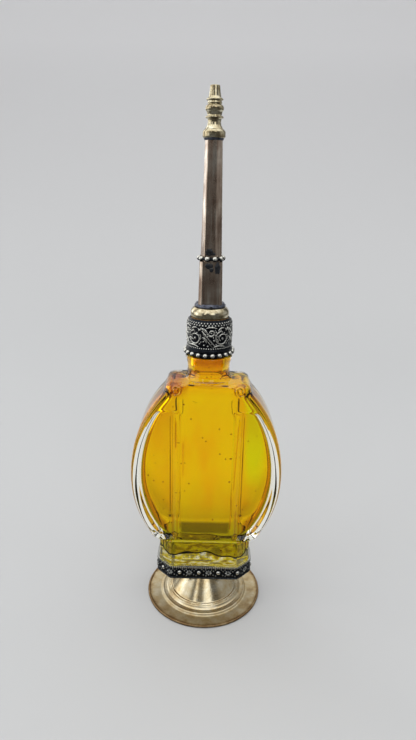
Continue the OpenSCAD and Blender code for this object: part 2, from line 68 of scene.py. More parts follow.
def make_piece(name, grids, materials, body, replaced=(), sharp=35.0):
    """Joins grids of points into one mesh. Each grid is (points in mm of shape rows x cols x 3,
    wrap_rows, wrap_cols, material index or one index per row of faces, and, where the finish follows
    a mark, its value at each point, which holds relief, rubbing and stain, and painted highlight and shade)."""
    points, faces, index, heights, first = [], [], [], [], 0
    for grid, wrap_rows, wrap_cols, material, *finish_and_painted_light in grids:
        rows, cols = grid.shape[:2]
        quads = grid_faces(rows, cols, wrap_rows, wrap_cols, first)
        per_row = cols if wrap_cols else cols - 1
        material = np.broadcast_to(np.asarray(material), (len(quads) // per_row,))
        points.append(grid.reshape(-1, 3) * MM)
        heights.append(np.asarray(finish_and_painted_light[0] if finish_and_painted_light else np.zeros((rows, cols)), float).ravel())
        faces.append(quads)
        index.append(np.repeat(material, per_row))
        first += rows * cols
    points, faces, index = np.concatenate(points), np.concatenate(faces), np.concatenate(index)
    mesh = bpy.data.meshes.new(name)
    mesh.vertices.add(len(points))
    mesh.vertices.foreach_set("co", points.astype(np.float32).ravel())
    mesh.loops.add(faces.size)
    mesh.loops.foreach_set("vertex_index", faces.astype(np.int32).ravel())
    mesh.polygons.add(len(faces))
    mesh.polygons.foreach_set("loop_start", np.arange(0, faces.size, 4, dtype=np.int32))
    mesh.polygons.foreach_set("material_index", index.astype(np.int32))
    mesh.update(calc_edges=True)
    mesh.validate()
    if np.ptp(np.concatenate(heights)) > 0:
        mesh.attributes.new("finish_and_painted_light", "FLOAT", "POINT").data.foreach_set(
            "value", np.concatenate(heights).astype(np.float32))
    welded = bmesh.new()
    welded.from_mesh(mesh)
    bmesh.ops.remove_doubles(welded, verts=welded.verts, dist=1e-7)
    bmesh.ops.dissolve_degenerate(welded, edges=welded.edges, dist=1e-8)
    if welded.calc_volume(signed=True) < 0:
        bmesh.ops.reverse_faces(welded, faces=welded.faces)
    open_edges = sum(not e.is_manifold for e in welded.edges)
    volume = welded.calc_volume() / MM**3 / 1000
    welded.to_mesh(mesh)
    welded.free()
    mesh.shade_smooth()
    mesh.set_sharp_from_angle(angle=math.radians(sharp))
    for m in materials:
        mesh.materials.append(m)
    piece = bpy.data.objects.new(name, mesh)
    bpy.context.scene.collection.objects.link(piece)
    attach(piece, body)
    if replaced:
        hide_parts(*replaced)
    print(f"{name}: {len(mesh.polygons)} faces, {open_edges} open edges, {volume:.2f} cm3")


# %% Helpers for profiles
def steps(value, low, high):
    """A smooth step from 0 at low to 1 at high: 3t^2 - 2t^3."""
    t = np.clip((value - low) / (high - low), 0, 1)
    return t * t * (3 - 2 * t)


def line_at(value, centre, half):
    """A soft line across a surface: 1 at the centre, falling like a bell, exp(-(distance / half)^2)."""
    return np.exp(-(((value - centre) / half) ** 2))


def eased(points, soft, count=5, closed=False):
    """A polyline whose corners are replaced by short curves: a quadratic arc that leaves each corner's
    sides at most `soft` before it. Works on the whole array of corners at once."""
    p = np.asarray(points, float)
    soft = np.broadcast_to(soft, (len(p),))[:, None]
    before, after = np.roll(p, 1, 0) - p, np.roll(p, -1, 0) - p
    lb = np.linalg.norm(before, axis=1, keepdims=True) + 1e-12
    la = np.linalg.norm(after, axis=1, keepdims=True) + 1e-12
    start = p + before / lb * np.minimum(soft, lb * 0.45)
    end = p + after / la * np.minimum(soft, la * 0.45)
    t = np.linspace(0, 1, count)[None, :, None]
    arcs = start[:, None] * (1 - t) ** 2 + 2 * p[:, None] * t * (1 - t) + end[:, None] * t**2
    if not closed:
        arcs = arcs[1:-1]
    arcs = arcs.reshape(-1, p.shape[1])
    return arcs if closed else np.concatenate([p[:1], arcs, p[-1:]])


def spaced(points, step):
    """Points put in along a polyline, so that no stretch is longer than `step`."""
    p = np.asarray(points, float)
    length = np.linalg.norm(np.diff(p, axis=0), axis=1)
    n = np.maximum(1, np.ceil(length / step).astype(int))
    at = np.concatenate([k + np.arange(c) / c for k, c in enumerate(n)] + [[len(p) - 1.0]])
    return np.stack([np.interp(at, np.arange(len(p)), p[:, i]) for i in range(p.shape[1])], 1)


def lathe(profile, count=128):
    """A profile of (radius, height) turned round the Z axis: x = r cos a, y = r sin a."""
    a = np.arange(count) / count * 2 * np.pi
    r, z = profile[:, 0, None], profile[:, 1, None]
    return np.stack([r * np.cos(a), r * np.sin(a), z + 0 * a], -1)


def globe(rows, cols):
    """Latitude, longitude and the points of a ball of radius 1: (cos lat cos lon, cos lat sin lon,
    sin lat)."""
    lat = np.linspace(-np.pi / 2, np.pi / 2, rows)[:, None]
    lon = np.arange(cols)[None, :] / cols * 2 * np.pi
    sides = np.cos(lat) * np.cos(lon), np.cos(lat) * np.sin(lon), np.sin(lat)
    return lat, lon, np.stack(np.broadcast_arrays(*sides), -1)


# %% [markdown]
# ## Tools for materials
# Colours are written as designers write them, in sRGB hex, and one function turns them to the linear
# values that the renderer mixes. One small function adds a node, sets its sockets and links it. A
# pattern is given by the size of its lumps in millimetres, which a ruler could check on the real thing.

# %% Colour and node helpers
def rgb(hex_code):
    """Linear red, green, blue and alpha of an sRGB hex colour."""
    c = np.array([int(hex_code[i : i + 2], 16) for i in (1, 3, 5)]) / 255
    return (*np.where(c <= 0.04045, c / 12.92, ((c + 0.055) / 1.055) ** 2.4), 1.0)


def grain(size_mm):
    """The Scale of a noise or of cells whose lumps are about size_mm across: one over metres."""
    return 1 / (size_mm * MM)


def add(tree, node, sockets=None, stops=(), **settings):
    """Adds a node of the named kind, as Blender writes it after "ShaderNode", or takes one that is there.
    settings are its properties. sockets maps an input to a value, a hex colour, an output, or a node
    whose first output in use is meant. stops are the (position, hex) pairs of a colour ramp."""
    if isinstance(node, str):
        node = tree.nodes.new("ShaderNode" + node)
    for key, value in settings.items():
        setattr(node, key, value)
    for key, value in (sockets or {}).items():
        if isinstance(value, bpy.types.Node):
            value = next(out for out in value.outputs if out.enabled)
        if isinstance(value, bpy.types.NodeSocket):
            tree.links.new(value, node.inputs[key])
        else:
            node.inputs[key].default_value = rgb(value) if isinstance(value, str) else value
    if stops:
        elements = node.color_ramp.elements
        while len(elements) < len(stops):
            elements.new(0.5)
        for element, (at, colour) in zip(elements, stops):
            element.position, element.color = at, rgb(colour)
    return node


def product(tree, part, *others):
    """Several outputs multiplied, one after another."""
    for other in others:
        part = add(tree, "Math", {0: part, 1: other}, operation="MULTIPLY")
    return part


def new_material(name):
    """An empty node material: gives the material, its tree, its shader and the object coordinates."""
    material = bpy.data.materials.new(name)
    material.use_nodes = True
    tree = material.node_tree
    place = add(tree, "TexCoord").outputs["Object"]
    return material, tree, tree.nodes["Principled BSDF"], place


def mottled(name, size_mm, detail, stops, rough, metallic=0.0, dent=None):
    """A finish whose colour follows a noise with lumps of size_mm. dent is the strength and the depth in
    metres of a bump by the same noise. Gives the material, its tree, its shader and its colour."""
    material, tree, shader, place = new_material(name)
    lumps = add(tree, "TexNoise", {"Vector": place, "Scale": grain(size_mm), "Detail": detail})
    tone = add(tree, "ValToRGB", {"Fac": lumps}, stops)
    add(tree, shader, {"Base Color": tone, "Roughness": rough, "Metallic": metallic})
    if dent:
        bump = add(tree, "Bump", {"Height": lumps, "Strength": dent[0], "Distance": dent[1]})
        add(tree, shader, {"Normal": bump})
    return material, tree, shader, tone


def lit_in_glass(tree, shader, tone, share):
    """Light that has crossed glass to reach a matt thing is costly to trace, so rays that come through
    glass find a part of the thing's own tone as a glow instead."""
    path = add(tree, "LightPath")
    part = product(tree, path.outputs["Is Transmission Ray"], share)
    glow = add(tree, "Emission", {"Color": tone})
    mixed = add(tree, "MixShader", {0: part, 1: shader, 2: glow})
    add(tree, tree.nodes["Material Output"], {"Surface": mixed})


# %% [markdown]
# ## Glass
# The flask is soda-lime glass, pressed in a mould, with a transparent amber stain on the inside only.
# That is why the rim of the body stays clear and grey while the middle is yellow. One mesh with two
# skins copies this: the outer skin has a clear material, the inner skin one whose colour is the stain.
# Light crosses the inner skin twice, so the stain's colour is the root of the colour that is seen. A
# plain glass shader is used for it, because that one also colours the light which the skin mirrors.
# Painted shade darkens lines on the front, the scroll grooves and the sides; a vertex attribute says where.
# The stain ran to the cavity's edges before it was fired, so it is deeper there. Under the flange the
# Under the flange the plaster wets the glass: no light is mirrored at that face, and the plaster itself is
# seen in it, with a painted glow for rays that come through the glass.

# %% Clear glass
# Pressed glass is smooth but never flat: faint waves bend what is seen through it, and painted shade browns
# its lines and sides.
GLASS_IOR = 1.5
clear_glass, tree, shader, place = new_material("pressed_soda_glass")
painted_shade = add(tree, "Attribute", attribute_name="finish_and_painted_light").outputs["Fac"]
tone = add(tree, "ValToRGB", {"Fac": painted_shade}, [(0.0, "#FDFEFA"), (0.4, "#E6BC78"), (1.0, "#6A4A12")])
ripple = add(tree, "TexNoise", {"Vector": place, "Scale": grain(16.6667), "Detail": 1.0})
bump = add(tree, "Bump", {"Height": ripple, "Strength": 0.05, "Distance": 2 * MM})
add(tree, shader, {"Base Color": tone, "Normal": bump, "Transmission Weight": 1.0, "IOR": GLASS_IOR,
                   "Roughness": 0.0})
print("glass:", clear_glass.name)

# %% Where the stain changes, in millimetres
# Brushed on and fired, the stain is a clear film. It is thin and lime on the right wing, thick and brown on
# the left shoulder. Up the neck it darkens as painted shadow of the collar's insert; over the base, painted
# olive shade stands for the dark base behind.
amber_stain, tree, shader, place = new_material("amber_stain_inside_glass")
tree.nodes.remove(shader)
at = add(tree, "SeparateXYZ", {"Vector": place}).outputs
off_middle = add(tree, "Math", {0: at["X"]}, operation="ABSOLUTE")
zone = {name: add(tree, "MapRange", {"Value": value, "From Min": none * MM, "From Max": full * MM,
                                     "To Max": most})
        for name, value, none, full, most in (
            ("lime_inner", at["X"], 19.5, 24.5, 1), ("lime_outer", at["X"], 34.5, 29.5, 1),
            ("lime_upper", at["Z"], 66, 90, 0.8), ("neck", at["Z"], 131, 150, 1),
            ("foot", at["Z"], 56, 38, 1), ("left", at["X"], -10, -17, 0.75),
            ("roof", at["Z"], 128.5, 133.5, 1), ("base_front", at["Y"], -3, -6, 1),
            ("base_low", at["Z"], 45.5, 47, 1), ("base_high", at["Z"], 54.3, 52.5, 1),
            ("base_middle", off_middle, 14.5, 12.5, 0.8))}
print("zones of the stain:", ", ".join(zone))

# %% The stain's colour
# Brush marks are clouds of 16 mm, drawn out upwards; specks of the powder lie about 6 mm apart.
drawn = add(tree, "Mapping", {"Vector": place, "Scale": (1.0, 1.0, 0.45)})
cloud = add(tree, "TexNoise", {"Vector": drawn, "Scale": grain(16.12903), "Detail": 2.0})
lime = product(tree, zone["lime_inner"], zone["lime_outer"], zone["lime_upper"])
lime = add(tree, "Math", {0: cloud, 1: 0.4, 2: lime}, operation="MULTIPLY_ADD")
tint = add(tree, "ValToRGB", {"Fac": lime},
           [(0.11, "#FFD400"), (0.19, "#FFE200"), (0.3, "#FFEA00"), (0.8, "#F6F200")])
# The tint darkens up the neck: painted shadow of the collar's insert.
neck_shadow_tint = add(tree, "ValToRGB", {"Fac": zone["neck"]},
                [(0.0, "#FFDC00"), (0.5, "#FAC400"), (1.0, "#DC9E00")])
rusty = product(tree, zone["left"], zone["roof"])
# Olive over the base: painted shade for the dark base seen behind the glass.
painted_base_shade = product(tree, zone["base_low"], zone["base_high"], zone["base_middle"], zone["base_front"])
pooled = add(tree, "Attribute", attribute_name="finish_and_painted_light").outputs["Fac"]
cells = add(tree, "TexVoronoi", {"Vector": place, "Scale": grain(5.88235)})
speck = add(tree, "MapRange", {"Value": cells, "From Min": 0.09, "From Max": 0.06})
for share, colour in ((zone["neck"], neck_shadow_tint), (zone["foot"], "#E6DE10"), (rusty, "#C8701E"),
                      (painted_base_shade, "#86700A"), (pooled, "#D89A18"), (speck, "#A8640A")):
    tint = add(tree, "Mix", {"Factor": share, "A": tint, "B": colour}, data_type="RGBA")
stain = add(tree, "BsdfGlass", {"Color": tint, "Roughness": 0.0, "IOR": GLASS_IOR})
add(tree, tree.nodes["Material Output"], {"Surface": stain})
print("stain:", amber_stain.name)

# %% Cement against the glass
# Plaster is matt and crumbly; the glass that it wets shows it yellow, with pale lumps of 4 mm.
bonded, tree, shader, tone = mottled("cement_seen_through_the_glass", 3.84615, 3.0,
                                     [(0.38, "#94760A"), (0.52, "#D2BC10"), (0.66, "#E6DFB8")], 0.7)
# Rays through the glass find that yellow as a painted glow.
lit_in_glass(tree, shader, tone, 0.85)
print("under the flange:", bonded.name)

# %% [markdown]
# ## The flask
# The flask's skin runs in one piece from the middle of its foot, up the block, the oval and the
# shoulders, over the mouth and down the inside to the cavity's floor. Each row of the grid is a
# horizontal section: a rectangle with soft corners that slowly becomes a circle at the neck. Its
# columns are tied to the lines that the mould cut, so that panel edges run along the mesh.

# %% Sizes of the flask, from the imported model
FLASK_Z = 18.9
BLOCK_HW, BLOCK_HD, BLOCK_CORNER, FLANGE_HD, FLANGE_TOP = 26.2, 11.9, 7.2, 13.0, 25.3
OVAL_HW, OVAL_Z, OVAL_UP, OVAL_LOW, RIM_W = 41.6, 82.7, 60.0, 53.5, 4.2
HALF_DEPTH, DEPTH_SOFT, BODY_CORNER = 12.8, 1.6, 2.8
SHOULDER_Z, SHOULDER_HW, SHOULDER_SOFT = 138.3, 22.7, 4.4
SIDE_WALL, THIN_WALL, CAVITY_HD, CAVITY_Z, CAVITY_SOFT = 3.6, 1.8, 8.0, 30.0, 2.2
NECK_R, LEDGE_R, LEDGE_Z, FINISH_R, MOUTH_R, MOUTH_Z = 11.05, 12.4, 151.7, 10.0, 7.0, 162.3
PANEL_HW, SLOPE_W, WING_SINK, WING_TOP = 15.2, 4.2, 2.2, 123.8
SCROLL_X, SCROLL_Z, SCROLL_R, SCROLL_PITCH = 16.9, 134.9, 3.3, 1.75


def oval_width(z, inset=0.0):
    """Half width of the oval at height z: two half ellipses that meet at its widest line."""
    reach = np.where(z > OVAL_Z, OVAL_UP, OVAL_LOW) - inset
    return (OVAL_HW - inset) * np.sqrt(np.clip(1 - ((z - OVAL_Z) / reach) ** 2, 0, 1))


def joined(a, b, soft):
    """The larger of two widths with its corner rounded: their mean plus the root of half their
    difference squared and soft squared, where the soft part fades as the widths part."""
    return (a + b) / 2 + np.sqrt(((a - b) / 2) ** 2 + soft**2 * np.exp(-(((a - b) / (4 * soft)) ** 2)))


def edge_distance(x, z):
    """About how far a point of the front face lies inside the oval's outline."""
    reach = np.where(z > OVAL_Z, OVAL_UP, OVAL_LOW)
    u, v = x / OVAL_HW, (z - OVAL_Z) / reach
    f = np.sqrt(u * u + v * v) + 1e-9
    return (1 - f) * f / np.sqrt((u / OVAL_HW) ** 2 + (v / reach) ** 2 + 1e-12)


# %% Sections as whole arrays
FRONT_KNOTS = np.array([0, 14, 34, 42, 50])
PER_QUADRANT, CORNER_POINTS, SIDE_POINTS = 60, 6, 4


def table(width, depth, corner, height, circle, blend=0, bulge=1):
    """A row of seven numbers for each height. A column given as one number is the same in all rows."""
    columns = width, depth, corner, height, circle, blend, bulge
    columns = [np.atleast_1d(np.asarray(column, float)) for column in columns]
    return np.stack(np.broadcast_arrays(*columns), 1)


def sections(w, d, r, z, round_r, mix, bulge):
    """Rows of closed outlines. One quadrant goes from the front's middle along the flat face, round a
    corner of radius r, to the side's middle; the others are its mirror images. mix blends it with a
    circle of radius round_r. bulge 1 is a round corner and 2 a straight cut."""
    k4 = w - r
    k3 = np.minimum(w - 6.4, k4 - 0.05 * w)
    k2 = np.minimum(PANEL_HW + SLOPE_W + 0.8, k3 * 0.93)
    k1 = np.minimum(PANEL_HW - 1.5, k2 * 0.72)
    knots = np.stack([0 * w, k1, k2, k3, k4], 1)
    col = np.arange(FRONT_KNOTS[-1] + 1)
    seg = np.clip(np.searchsorted(FRONT_KNOTS, col, "right") - 1, 0, 3)
    share = (col - FRONT_KNOTS[seg]) / np.diff(FRONT_KNOTS)[seg]
    front_x = knots[:, seg] + share * (knots[:, seg + 1] - knots[:, seg])
    turn = np.arange(1, CORNER_POINTS + 1) / CORNER_POINTS * np.pi / 2
    p = bulge[:, None]
    corner_x = k4[:, None] + r[:, None] * np.sin(turn) ** p
    corner_y = -(d - r)[:, None] - r[:, None] * np.abs(np.cos(turn)) ** p
    side_y = -(d - r)[:, None] * (1 - np.arange(1, SIDE_POINTS + 1) / SIDE_POINTS)
    x = np.concatenate([front_x, corner_x, w[:, None] + 0 * side_y], 1)
    y = np.concatenate([-d[:, None] + 0 * front_x, corner_y, side_y], 1)
    a = np.arange(PER_QUADRANT + 1) / PER_QUADRANT * np.pi / 2
    x = x * (1 - mix[:, None]) + round_r[:, None] * np.sin(a) * mix[:, None]
    y = y * (1 - mix[:, None]) - round_r[:, None] * np.cos(a) * mix[:, None]
    k, i = np.divmod(np.arange(4 * PER_QUADRANT), PER_QUADRANT)
    i = np.where(k % 2 == 0, i, PER_QUADRANT - i)
    sign_x, sign_y = np.where(k < 2, 1, -1), np.where((k == 0) | (k == 3), 1, -1)
    return np.stack([x[:, i] * sign_x, y[:, i] * sign_y, z[:, None] + 0 * x[:, i]], -1)


# %% The relief of the outer skin
def scroll_wave(x, z):
    """Distance from the middle of a shoulder's scroll, and its spiral wave between -1 and 1: the cosine
    of the angle set back by the radius."""
    px, pz = np.abs(x) - SCROLL_X, z - SCROLL_Z
    rho, angle = np.hypot(px, pz), np.arctan2(pz, px)
    return rho, np.cos(2 * np.pi * rho / SCROLL_PITCH - angle + 0.6)


def scroll_height(x, z):
    """Height of the scroll on each shoulder: a disc with a spiral ridge, and a button in its middle."""
    rho, wave = scroll_wave(x, z)
    disc = steps(rho, SCROLL_R, SCROLL_R - 0.7)
    return disc * (0.12 + 0.8 * (0.5 + 0.5 * wave) * steps(rho, 0.2, 1.0)) + 0.7 * steps(rho, 0.95, 0.35)


# Lines of painted shade in the front: foot (x, z), top (x, z), half width and strength
SHADE_LINES = ((-16.8, 101, -16.7, 118, 0.5, 0.8), (-12.5, 84, -12.7, 106, 0.3, 0.45),
               (-18.9, 56, -18.7, 80, 0.3, 0.3), (15.4, 76, 16.8, 116, 0.32, 0.6),
               (19.5, 107, 19.6, 115, 0.35, 0.6), (-18.2, 44, -18.4, 60, 0.9, 0.55),
               (-15.8, 45, -15.7, 62, 0.4, 0.45), (17.2, 44, 17.0, 63, 0.4, 0.6),
               (19.3, 44, 19.1, 60, 0.8, 0.5), (14.2, 50, 14.3, 72, 0.3, 0.3))


def painted_shade_lines(x, z):
    """How much painted shade darkens the glass at (x, z), from 0 to 1: in the grooves of the scrolls, along
    the listed lines, and on a line that swings like a sine over the top of each wing."""
    rho, wave = scroll_wave(x, z)
    groove = 0.5 - 0.5 * wave
    darkening = 0.8 * groove**2 * steps(rho, SCROLL_R + 0.5, SCROLL_R - 0.2) * steps(rho, 0.3, 0.9)
    for x0, z0, x1, z1, half, strength in SHADE_LINES:
        line = x0 + (x1 - x0) * (z - z0) / (z1 - z0)
        ends = steps(z, z0 - 1, z0 + 1.5) * steps(z, z1 + 1, z1 - 3)
        darkening = np.maximum(darkening, strength * line_at(x, line, half) * ends)
    ax = np.abs(x)
    s_line = WING_TOP - 1.3 - 1.1 * np.sin((ax - 15.2) * 0.8)
    return np.maximum(darkening, 0.5 * line_at(z, s_line, 0.45) * steps(ax, 14.6, 15.4) * steps(ax, 21, 19.5))


def relief(x, z, soft):
    """How far a face stands out at (x, z): the sunken wings and the scrolls. soft widens the slope at
    the wing's rim."""
    ax = np.abs(x)
    wing = steps(ax, PANEL_HW, PANEL_HW + SLOPE_W)
    wing = wing * steps(edge_distance(x, z), RIM_W - 0.8, RIM_W + 0.9 + soft)
    wing = wing * steps(z, WING_TOP, WING_TOP - 3.2)
    ends = steps(z, 47, 52) * steps(z, WING_TOP - 1, WING_TOP - 6)
    arris = (0.3 * line_at(ax, PANEL_HW + SLOPE_W, 0.5) - 0.55 * line_at(ax, 13.9, 0.4)
             + 0.5 * line_at(ax, 17.3, 0.4) * steps(z, 103, 107))
    return scroll_height(x, z) - WING_SINK * wing + arris * ends


# %% The flask's rows, from its foot over the mouth to the cavity's floor
def outer_rows():
    """The table's rows for the outside: block, oval, shoulder, neck root, neck and mouth."""
    block = spaced([[FLANGE_HD - 0.4, FLASK_Z], [FLANGE_HD, FLASK_Z + 0.4], [FLANGE_HD, FLANGE_TOP - 0.6],
                    [FLANGE_HD - 0.4, FLANGE_TOP - 0.1], [BLOCK_HD + 0.3, FLANGE_TOP + 0.1],
                    [BLOCK_HD, FLANGE_TOP + 0.6], [BLOCK_HD, 41.0]], 0.8)
    z = np.concatenate([np.arange(41.4, 46, 0.4), np.linspace(46, 116, 82), np.arange(116.4, 133.8, 0.36)])
    upper = z > OVAL_Z
    width = joined(oval_width(z), np.where(upper, SHOULDER_HW, BLOCK_HW), np.where(upper, 0.7, 1.6))
    depth = BLOCK_HD + (HALF_DEPTH - BLOCK_HD) * steps(z, 40.8, 43.4)
    rise = steps(z, 41, 45)
    a, m = np.linspace(0, np.pi / 2, 15), np.linspace(0.08, 1, 14)
    top_w, top_d, root_r = SHOULDER_HW - SHOULDER_SOFT, HALF_DEPTH - DEPTH_SOFT, NECK_R + 1.7
    neck = eased([[NECK_R + 1.2, SHOULDER_Z + 0.7], [NECK_R + 0.5, SHOULDER_Z + 2.2], [NECK_R, 144.5],
                  [NECK_R + 0.35, 147.2], [LEDGE_R - 0.2, 149.6], [LEDGE_R, 150.4], [LEDGE_R, LEDGE_Z - 0.3],
                  [LEDGE_R - 0.3, LEDGE_Z], [FINISH_R, LEDGE_Z], [FINISH_R, MOUTH_Z - 0.5],
                  [FINISH_R - 0.5, MOUTH_Z], [MOUTH_R + 0.5, MOUTH_Z], [MOUTH_R, MOUTH_Z - 0.5]], 1.2, 4)
    neck = spaced(neck, 1.1)
    return np.concatenate([
        table(BLOCK_HW, block[:, 0], BLOCK_CORNER, block[:, 1], 10, 0, 1.9),
        table(width, depth, BLOCK_CORNER - (BLOCK_CORNER - BODY_CORNER) * rise, z, 10, 0, 1.9 - 0.9 * rise),
        table(top_w + SHOULDER_SOFT * np.cos(a), top_d + DEPTH_SOFT * np.cos(a), BODY_CORNER,
              SHOULDER_Z - SHOULDER_SOFT + SHOULDER_SOFT * np.sin(a), root_r),
        table(top_w, top_d, BODY_CORNER, SHOULDER_Z + 0.25 * m, root_r, m),
        table(18, 11, 3, neck[:, 1], neck[:, 0], 1)])


def inner_rows():
    """The table's rows for the inside, from the mouth down to the floor: the bore, the funnel under it,
    the roof of the shoulders, the oval and the well in the block."""
    bore_r, roof_soft = MOUTH_R + 0.6, 4
    bore = spaced([[MOUTH_R, MOUTH_Z - 2], [MOUTH_R, 152], [bore_r, 148], [bore_r, 140]], 1.2)
    side, roof, well = SHOULDER_HW - THIN_WALL, SHOULDER_Z - THIN_WALL, BLOCK_HW - SIDE_WALL
    deep = HALF_DEPTH - THIN_WALL - 0.6
    m, a = np.linspace(1, 0, 12)[1:], np.linspace(np.pi / 2, 0, 9)[1:]
    z = np.concatenate([np.arange(roof - 4.6, 117, -0.5), np.linspace(116.6, 48, 52)])
    upper = z > OVAL_Z
    width = joined(oval_width(z, SIDE_WALL), np.where(upper, side, well), np.where(upper, 0.9, 1.6))
    z_well = np.linspace(47.4, CAVITY_Z + CAVITY_SOFT, 16)
    fall = np.linspace(0, np.pi / 2, 7)[1:]
    inset = CAVITY_SOFT * (1 - np.cos(fall))
    return np.concatenate([
        table(16, 7, 5, bore[:, 1], bore[:, 0], 1),
        table(side - roof_soft, deep - roof_soft, roof_soft, roof + 4.4 * m**1.7,
              bore_r + 0.3 * (1 - m), m**0.8),
        table(side - roof_soft + roof_soft * np.cos(a), deep - roof_soft + roof_soft * np.cos(a), roof_soft,
              roof - roof_soft + roof_soft * np.sin(a), 7),
        table(width, deep + (CAVITY_HD - deep) * steps(z, 134, 112), 4 + steps(z, 131, 120), z, 7),
        table(np.maximum(oval_width(z_well, SIDE_WALL), well), CAVITY_HD - 0.6 * steps(z_well, 47, 42), 5,
              z_well, 7, 0, 1.1),
        table(well - inset, CAVITY_HD - 0.6 - inset, 5 - inset,
              CAVITY_Z + CAVITY_SOFT - CAVITY_SOFT * np.sin(fall), 7, 0, 1.1)])


# %% Shape the outer skin and the lining
outer, inner = outer_rows(), inner_rows()
skin, lining = sections(*outer.T), sections(*inner.T)
x, y, z = skin[..., 0], skin[..., 1], skin[..., 2]
face = steps(np.abs(y), HALF_DEPTH - 2.8, HALF_DEPTH - 1.2) * steps(z, 42.5, 46) * steps(z, 139.5, 137.9)
skin[..., 1] += np.sign(y) * face * relief(x, z, np.where(y > 0, 8.0, 1.0))
soft_top = steps(z, SHOULDER_Z - 1.4, SHOULDER_Z) * steps(np.abs(x), 10, 14) * (outer[:, 5] < 1)[:, None]
skin[..., 1] -= np.sign(skin[..., 1]) * 1.2 * soft_top * steps(np.abs(y), 9, 12)
lx, ly, lz = lining[..., 0].copy(), lining[..., 1].copy(), lining[..., 2].copy()
floor_wave = 1.3 - 1.5 * steps(lx, -8, -17) - 3.0 * steps(lx, 2, 13) + 0.5 * np.sin(lx * 0.5 + 1)
lining[..., 2] += floor_wave * steps(lz, 44, 31)
wall_wave = 0.12 * np.sin(lx * 0.42 + 0.9) * np.sin(lz * 0.13) + 0.10 * np.sin(lz * 0.31 + lx * 0.05)
lining[..., 1] += np.sign(ly) * wall_wave * steps(lz, 132, 126) * steps(np.abs(ly), 3, 7)
print("rows outside and inside:", len(skin), len(lining))

# %% Stain, painted shade and cement, and the whole flask
UNDER_FLANGE = 10
pool = 0.8 * steps(np.abs(lx), inner[:, :1] - 1.3, inner[:, :1] - 0.2)
pool = pool * steps(lz, 31, 36) * steps(lz, 136, 132)
# Painted shade on the outer skin: dark lines and grooves, sides that darken higher up, and a faint band
# round the shoulder's top.
lines = painted_shade_lines(x, z) * face * np.where(y > 0, 0.35, 1.0)
painted_side_shade = 0.08 * steps(z, 43, 46) + 0.17 * steps(z, 95, 115)
lines = np.maximum(lines, painted_side_shade * steps(np.abs(y), 12.6, 11) * steps(z, 40, 43) * steps(z, 139, 134))
lines = np.maximum(lines, 0.12 * steps(z, 131, 135) * steps(z, 141, 138))
foot_pole = np.broadcast_to([0, 0, FLASK_Z], (1, skin.shape[1], 3))
floor_pole = np.broadcast_to([0, 0, lining[-1, :, 2].mean()], (1, lining.shape[1], 3))
whole = np.concatenate([foot_pole, skin, lining, floor_pole])
finish_and_painted_light = np.concatenate([0 * lines[:1], lines, pool, 0 * pool[:1]])
row = np.arange(len(whole) - 1)
skins = np.where(row >= len(skin), 1, np.where(row < UNDER_FLANGE, 2, 0))
make_piece("flask_glass", [(whole, False, True, skins, finish_and_painted_light)], [clear_glass, amber_stain, bonded],
           "vessel", ["flask"], sharp=50)
print("rows under the cement, up to", skin[UNDER_FLANGE - 1, 0, 2].round(1), "mm")

# %% [markdown]
# ## Metals
# Four metals show. The foot is nickel silver, spun on a lathe, so fine rings run round it and its
# shine is drawn out across them. The cap and nozzle are pale polished brass. The stem is sheet brass
# gone grey and brown in streaks. The band and collar were dipped in a blackening bath and rubbed, so
# that only high places are bright; their relief is kept in a mesh attribute, and the colour reads it.

# %% Nickel silver and pale brass
def spun_metal(name, colours, rough, ring_mm, streak, cloud_mm, rim_mm=None):
    """A lathe-turned metal: tarnish clouds mix the colours, and a wave round the axis gives tool rings.
    Past the radius rim_mm the clouds turn to the darkest colour, and the brim before it is duller."""
    material, tree, shader, place = new_material(name)
    cloud = add(tree, "TexNoise", {"Vector": place, "Scale": grain(cloud_mm), "Detail": 6.0,
                                   "Roughness": 0.6})
    level = add(tree, "VectorMath", {0: place, 1: (1, 1, 0)}, operation="MULTIPLY")
    radius = add(tree, "VectorMath", {0: level}, operation="LENGTH")
    height = add(tree, "SeparateXYZ", {"Vector": place}).outputs["Z"]
    along = add(tree, "Math", {0: height, 1: radius}, operation="SUBTRACT")
    rings = add(tree, "TexNoise", {"W": along, "Scale": grain(ring_mm), "Detail": 3.0},
                noise_dimensions="1D")
    worn, shine = cloud, add(tree, "MapRange", {"Value": cloud, "From Min": 0.3, "From Max": 0.7,
                                                "To Min": rough + 0.04, "To Max": rough})
    if rim_mm:
        edge = add(tree, "MapRange", {"Value": radius, "From Min": rim_mm * MM,
                                      "From Max": (rim_mm + 2) * MM, "To Max": -0.28})
        worn = add(tree, "Math", {0: cloud, 1: edge}, operation="ADD")
        matt = add(tree, "MapRange", {"Value": radius, "From Min": 18.5 * MM,
                                      "From Max": 26.5 * MM, "To Max": 0.42})
        shine = add(tree, "Math", {0: shine, 1: matt}, operation="ADD")
    tone = add(tree, "ValToRGB", {"Fac": worn}, list(zip((0.2, 0.42, 0.56, 0.7), colours)))
    bump = add(tree, "Bump", {"Height": rings, "Strength": 0.12, "Distance": 0.3 * MM})
    turn = add(tree, "Tangent", direction_type="RADIAL", axis="Z")
    add(tree, shader, {"Base Color": tone, "Roughness": shine, "Metallic": 1.0, "Anisotropic": streak,
                       "Normal": bump, "Tangent": turn})
    return material


# Spun and buffed: clouds of grey and straw, a dull fingered brim and a brown rim where dirt stays
nickel_silver = spun_metal("spun_nickel_silver", ("#957A56", "#C4B18A", "#CFC4A6", "#DDD4BE"), 0.12, 0.5,
                           0.55, 5.88235, 31.2)
# Turned from bar and polished: bright, with brown only in the hollows
pale_brass = spun_metal("turned_pale_brass", ("#57432F", "#A39678", "#C8BFA2", "#DED8C4"), 0.11, 0.6, 0.2,
                        3.0303)
print("turned metals:", nickel_silver.name, pale_brass.name)

